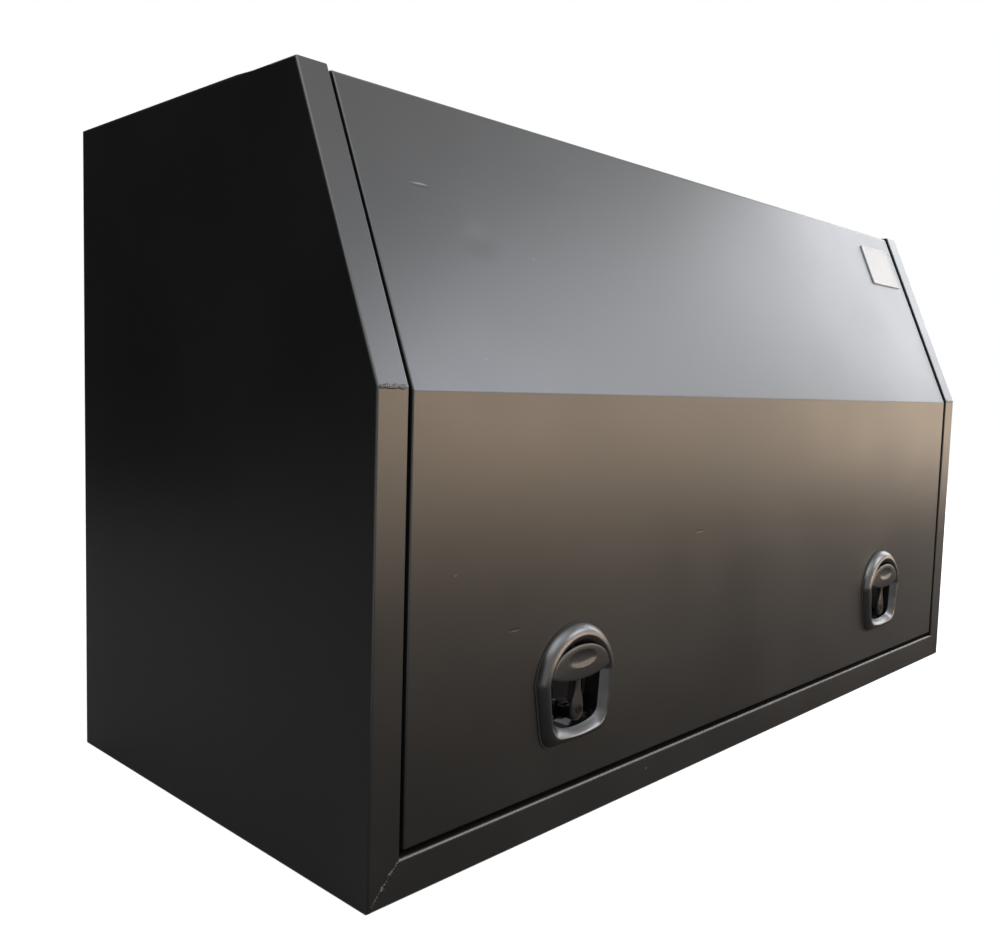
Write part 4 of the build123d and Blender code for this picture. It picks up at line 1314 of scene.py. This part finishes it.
@dataclass
class Strut(Assembly):
    """One gas strut: tube, rod, both eyes and both studs, each turned about its own axis."""

    side: Side
    x: float = 0.6315
    body_stud: tuple[float, float] = (0.06565, 0.60055)
    lid_stud: tuple[float, float] = (-0.25176, 0.55134)
    tube_radius: float = 0.0105
    rod_radius: float = 0.004
    eye_radius: float = 0.0085
    eye_half: float = 0.005
    start: float = 0.0175
    stub: float = 0.038
    slack: float = 0.0003
    piston: tuple[float, float, float] = (0.035, 0.045, 0.0082)
    eye_bore: float = 0.0042

    def build(self) -> None:
        """Builds the tube, the rod, the eyes and the studs."""
        word = self.side.word
        across = self.side.value * self.x
        first, last = np.array([across, *self.body_stud]), np.array([across, *self.lid_stud])
        length = float(np.linalg.norm(last - first))
        axis = (last - first) / length
        start, mouth = self.start, length - self.stub
        radius, bore = self.tube_radius, self.rod_radius + self.slack
        tube = np.array([
            (start, 0.0), (start, radius - 0.003), (start + 0.001, radius - 0.001), (start + 0.003, radius),
            (mouth - 0.016, radius), (mouth - 0.0145, radius - 0.0007), (mouth - 0.013, radius),
            (mouth - 0.003, radius), (mouth - 0.0006, radius - 0.0016), (mouth, radius - 0.003),
            (mouth, bore), (mouth - 0.008, bore),
        ])
        barrel, piston = f"{word}_strut_barrel", f"{word}_strut_piston"
        points = turned(tube, first, axis, 56)
        self.put(points, f"{word}_gas_tube", STRUT_PAINT, barrel, Slot.TUBE, f"{word}_strut_tube")
        piston_start, piston_end, piston_radius = self.piston
        rod = np.array([
            (piston_start, 0.0), (piston_start, piston_radius), (piston_end, piston_radius),
            (piston_end, self.rod_radius), (length - start, self.rod_radius), (length - start, 0.0),
        ])
        points = turned(rod, first, axis, 40)
        self.put(points, f"{word}_gas_rod", CHROME, piston, Slot.ROD, f"{word}_strut_rod")
        self.eye(first, axis, f"{word}_tube_end_eye", barrel, f"{word}_strut_tube_eye")
        self.eye(last, -axis, f"{word}_rod_end_eye", piston, f"{word}_strut_rod_eye")
        self.stud(first, self.side.value, f"{word}_body_ball_stud", "box", f"{word}_strut_body_stud")
        self.stud(last, -self.side.value, f"{word}_lid_ball_stud", "lid", f"{word}_strut_lid_stud")

    def put(self, points: Array, name: str, finish: Finish, body: str, slot: Slot, node: str) -> None:
        """Builds one turned piece and hangs it in place of its solid."""
        self.hang(Patchwork().grid(points, (False, True)).build(name, [finish], crisp=32), body, slot, node)

    def eye(self, middle: Array, axis: Array, name: str, body: str, node: str) -> None:
        """Nylon eye: a ring turned about x and a tapered shank turned about the strut.

        Args:
            middle: Middle of the eye.
            axis: Direction from the eye to the strut.
            name: Name of the piece.
            body: Body that carries it.
            node: Solid that it replaces.
        """
        half, outer, bore = self.eye_half, self.eye_radius, self.eye_bore
        ring = np.array([
            (-half, bore), (-half, outer - 0.001), (-half + 0.001, outer),
            (half - 0.001, outer), (half, outer - 0.001), (half, bore),
        ])
        neck = np.array([
            (0.0075, 0.0), (0.0075, 0.0048), (0.011, 0.0050), (0.0125, 0.0062),
            (0.0170, 0.0064), (self.start, 0.0058), (self.start, 0.0),
        ])
        work = Patchwork().grid(turned(ring, middle, (1, 0, 0), 44), (True, True))
        work.grid(turned(neck, middle, axis, 32), (False, True))
        self.hang(work.build(name, [NYLON], crisp=32), body, Slot.NYLON, node)

    def stud(self, middle: Array, way: int, name: str, body: str, node: str) -> None:
        """Stud: a hexagon on its seat, a journal through the eye and a domed cap, turned about x.

        Args:
            middle: Middle of the eye that it carries.
            way: Sign of x towards its seat.
            name: Name of the piece.
            body: Body that carries it.
            node: Solid that it replaces.
        """
        near = self.eye_half + self.slack
        far = near + 0.008
        collar = np.array([(near, 0.0), (near, 0.0056), (near + 0.0007, 0.0064), (far, 0.0064), (far, 0.0)])
        journal = [(near, 0.0), (near, 0.0039), (-near, 0.0039), (-near, 0.0058), (-near - 0.0008, 0.0063)]
        dome = smooth([(-near - 0.0012, 0.0062), (-near - 0.0018, 0.0045), (-near - 0.0020, 0.0)], 6)
        cap = np.vstack([journal, dome])
        work = Patchwork().grid(turned(collar, middle, (way, 0, 0), 36, 6), (False, True))
        work.grid(turned(cap, middle, (way, 0, 0), 36), (False, True))
        self.hang(work.build(name, [ZINC], crisp=25), body, Slot.PLATED, node)


# The stage

@dataclass
class Studio:
    """Pale floor, white background, soft lamps, dark cards and the camera."""

    room_light: float = 0.30
    floor_half: float = 14.0
    floor_level: float = -0.0008
    floor_tones: tuple[float, float] = (0.80, 0.84)
    floor_glow: float = 0.78
    card_roughness: float = 0.9
    camera_at: Place = (-1.254076, -0.984811, 0.490483)
    camera_turn: Place = (85.18234, -1.64144, -46.06118)
    lens: float = 35.547
    sensor: float = 36.0
    clip: tuple[float, float] = (0.01, 100.0)

    def build(self) -> None:
        """Builds the stage in order."""
        bpy.context.scene.view_settings.view_transform = "Standard"
        self.world()
        self.floor()
        self.camera()
        self.lamp("sky_card", (2.37, -2.97, 2.50), (-0.2, -0.3, 0.55), (2.1, 1.6), 84.0, (0.86, 0.91, 1.0))
        self.lamp("far_sky_card", (4.29, -0.44, 1.90), (0.3, -0.3, 0.55), (2.0, 2.0), 64.0, (0.92, 0.95, 1.0))
        self.lamp("ring_card", (-1.4, -1.3, 2.7), (-0.41, -0.3, 0.16), (1.7, 1.7), 23.0, (0.92, 0.95, 1.0))
        self.lamp("top_card", (-0.3, -1.8, 3.3), (0.0, -0.1, 0.4), (2.2, 2.2), 27.0, (0.94, 0.96, 1.0))
        self.lamp("glow_card", (1.45, -3.1, 0.45), (-0.4, -0.3, 0.4), (2.4, 0.58), 33.0, (1.0, 0.71, 0.45))
        self.lamp("far_glow_card", (3.6, -1.9, 0.45), (0.4, -0.3, 0.4), (1.9, 0.58), 12.0, (1.0, 0.69, 0.40))
        self.card("left_card", (-3.2, 0.4, 1.4), (0.0, 2.6, 0.0), (0.0, 0.0, 2.0), 0.004)
        self.card("rear_left_card", (-2.2, 2.6, 1.4), (1.5, 0.0, 0.0), (0.0, 0.0, 2.0), 0.004)
        self.card("left_floor_card", (-1.94, 1.0, 0.0008), (1.245, 0.0, 0.0), (0.0, 1.9, 0.0), 0.26)
        self.card("front_floor_card", (1.6, -1.9, 0.0008), (2.6, 0.0, 0.0), (0.0, 1.6, 0.0), 0.035)

    def world(self) -> None:
        """White background to the camera and to gloss, softer for the light on the box."""
        world = bpy.data.worlds.new("white_room")
        bpy.context.scene.world = world
        world.use_nodes = True
        nodes = Nodes(world.node_tree)
        back = world.node_tree.nodes["Background"].inputs
        nodes.fill(back["Color"], opaque(WHITE))
        nodes.fill(back["Strength"], nodes.band(nodes.seen(), 0.0, 1.0, self.room_light, 1.0))

    def floor(self) -> None:
        """Plain pale floor that keeps the box's shadow: a flat grid, lit, and lifted to white where seen."""
        run = np.linspace(-self.floor_half, self.floor_half, 9)
        x, y = np.meshgrid(run, run, indexing="ij")
        made = bpy.data.materials.new("pale_floor")
        made.use_nodes = True
        nodes = Nodes(made.node_tree)
        made.node_tree.nodes.remove(made.node_tree.nodes["Principled BSDF"])
        grain = nodes.noise(nodes.put("TexCoord").outputs["Object"], 3.0, 4.0)
        darker, paler = (opaque((tone, tone, tone)) for tone in self.floor_tones)
        matt = nodes.put("BsdfDiffuse", {"Color": nodes.blend(grain, darker, paler)})
        strength = nodes.times(nodes.seen(), self.floor_glow)
        glow = nodes.put("Emission", {"Color": opaque(WHITE), "Strength": strength})
        both = nodes.put("AddShader", {0: matt.outputs[0], 1: glow.outputs[0]})
        nodes.fill(made.node_tree.nodes["Material Output"].inputs["Surface"], both.outputs[0])
        self.stand("floor", np.stack([x, y, np.full_like(x, self.floor_level)], -1), made)

    def stand(self, name: str, points: Array, material: bpy.types.Material) -> bpy.types.Object:
        """Puts a flat piece of the stage in the scene.

        Args:
            name: Name of the piece.
            points: Grid of its points, m by n by 3.
            material: Its material.

        Returns:
            The piece.
        """
        rows, columns = points.shape[:2]
        faces = quads(np.arange(rows * columns).reshape(rows, columns)).reshape(-1, 4)
        mesh = bpy.data.meshes.new(name)
        mesh.from_pydata(points.reshape(-1, 3).tolist(), [], faces.tolist())
        mesh.materials.append(material)
        piece = bpy.data.objects.new(name, mesh)
        bpy.context.scene.collection.objects.link(piece)
        return piece

    def card(self, name: str, middle: Place, first: Place, second: Place, tone: float) -> None:
        """Dark card that only gloss sees: a flat grid spanned by two half sides.

        Args:
            name: Name of the card.
            middle: Its middle.
            first: Half of one side.
            second: Half of the other side.
            tone: How pale it is.
        """
        share = np.linspace(-1, 1, 3)
        u, v = np.meshgrid(share, share, indexing="ij")
        points = np.asarray(middle) + u[..., None] * np.asarray(first) + v[..., None] * np.asarray(second)
        made = bpy.data.materials.new(name)
        made.use_nodes = True
        shader = made.node_tree.nodes["Principled BSDF"]
        shader.inputs["Base Color"].default_value = opaque((tone, tone, tone))
        shader.inputs["Roughness"].default_value = self.card_roughness
        piece = self.stand(name, points, made)
        piece.visible_camera = piece.visible_diffuse = piece.visible_shadow = False

    def lamp(self, name: str, at: Place, aim: Place, size: tuple[float, float], power: float,
             color: Color) -> None:
        """Soft lamp: a rectangle that faces its aim.

        Args:
            name: Name of the lamp.
            at: Its middle.
            aim: Point that it faces.
            size: Width and height.
            power: Watts.
            color: Colour of its light.
        """
        data = bpy.data.lights.new(name, "AREA")
        data.shape = "RECTANGLE"
        data.size, data.size_y = size
        data.energy = power
        data.color = color
        lamp = bpy.data.objects.new(name, data)
        lamp.location = at
        way = np.asarray(aim) - np.asarray(at)
        level = math.hypot(way[0], way[1])
        lamp.rotation_euler = (math.atan2(level, -way[2]), 0.0, math.atan2(-way[0], way[1]))
        lamp.visible_camera = False
        bpy.context.scene.collection.objects.link(lamp)

    def camera(self) -> None:
        """Camera at the photograph's place."""
        data = bpy.data.cameras.new("camera")
        data.lens = self.lens
        data.sensor_width = self.sensor
        data.clip_start, data.clip_end = self.clip
        camera = bpy.data.objects.new("camera", data)
        camera.location = self.camera_at
        camera.rotation_euler = [math.radians(angle) for angle in self.camera_turn]
        bpy.context.scene.collection.objects.link(camera)
        bpy.context.scene.camera = camera


def main() -> None:
    """Builds the sub-assemblies in order, then the stage."""
    logging.basicConfig(level=logging.INFO, format="%(name)s: %(message)s")
    Carcass().build()
    Lid().build()
    for side in Side:
        Latch(side).build()
        Strut(side).build()
    Studio().build()


if __name__ == "__main__":
    main()
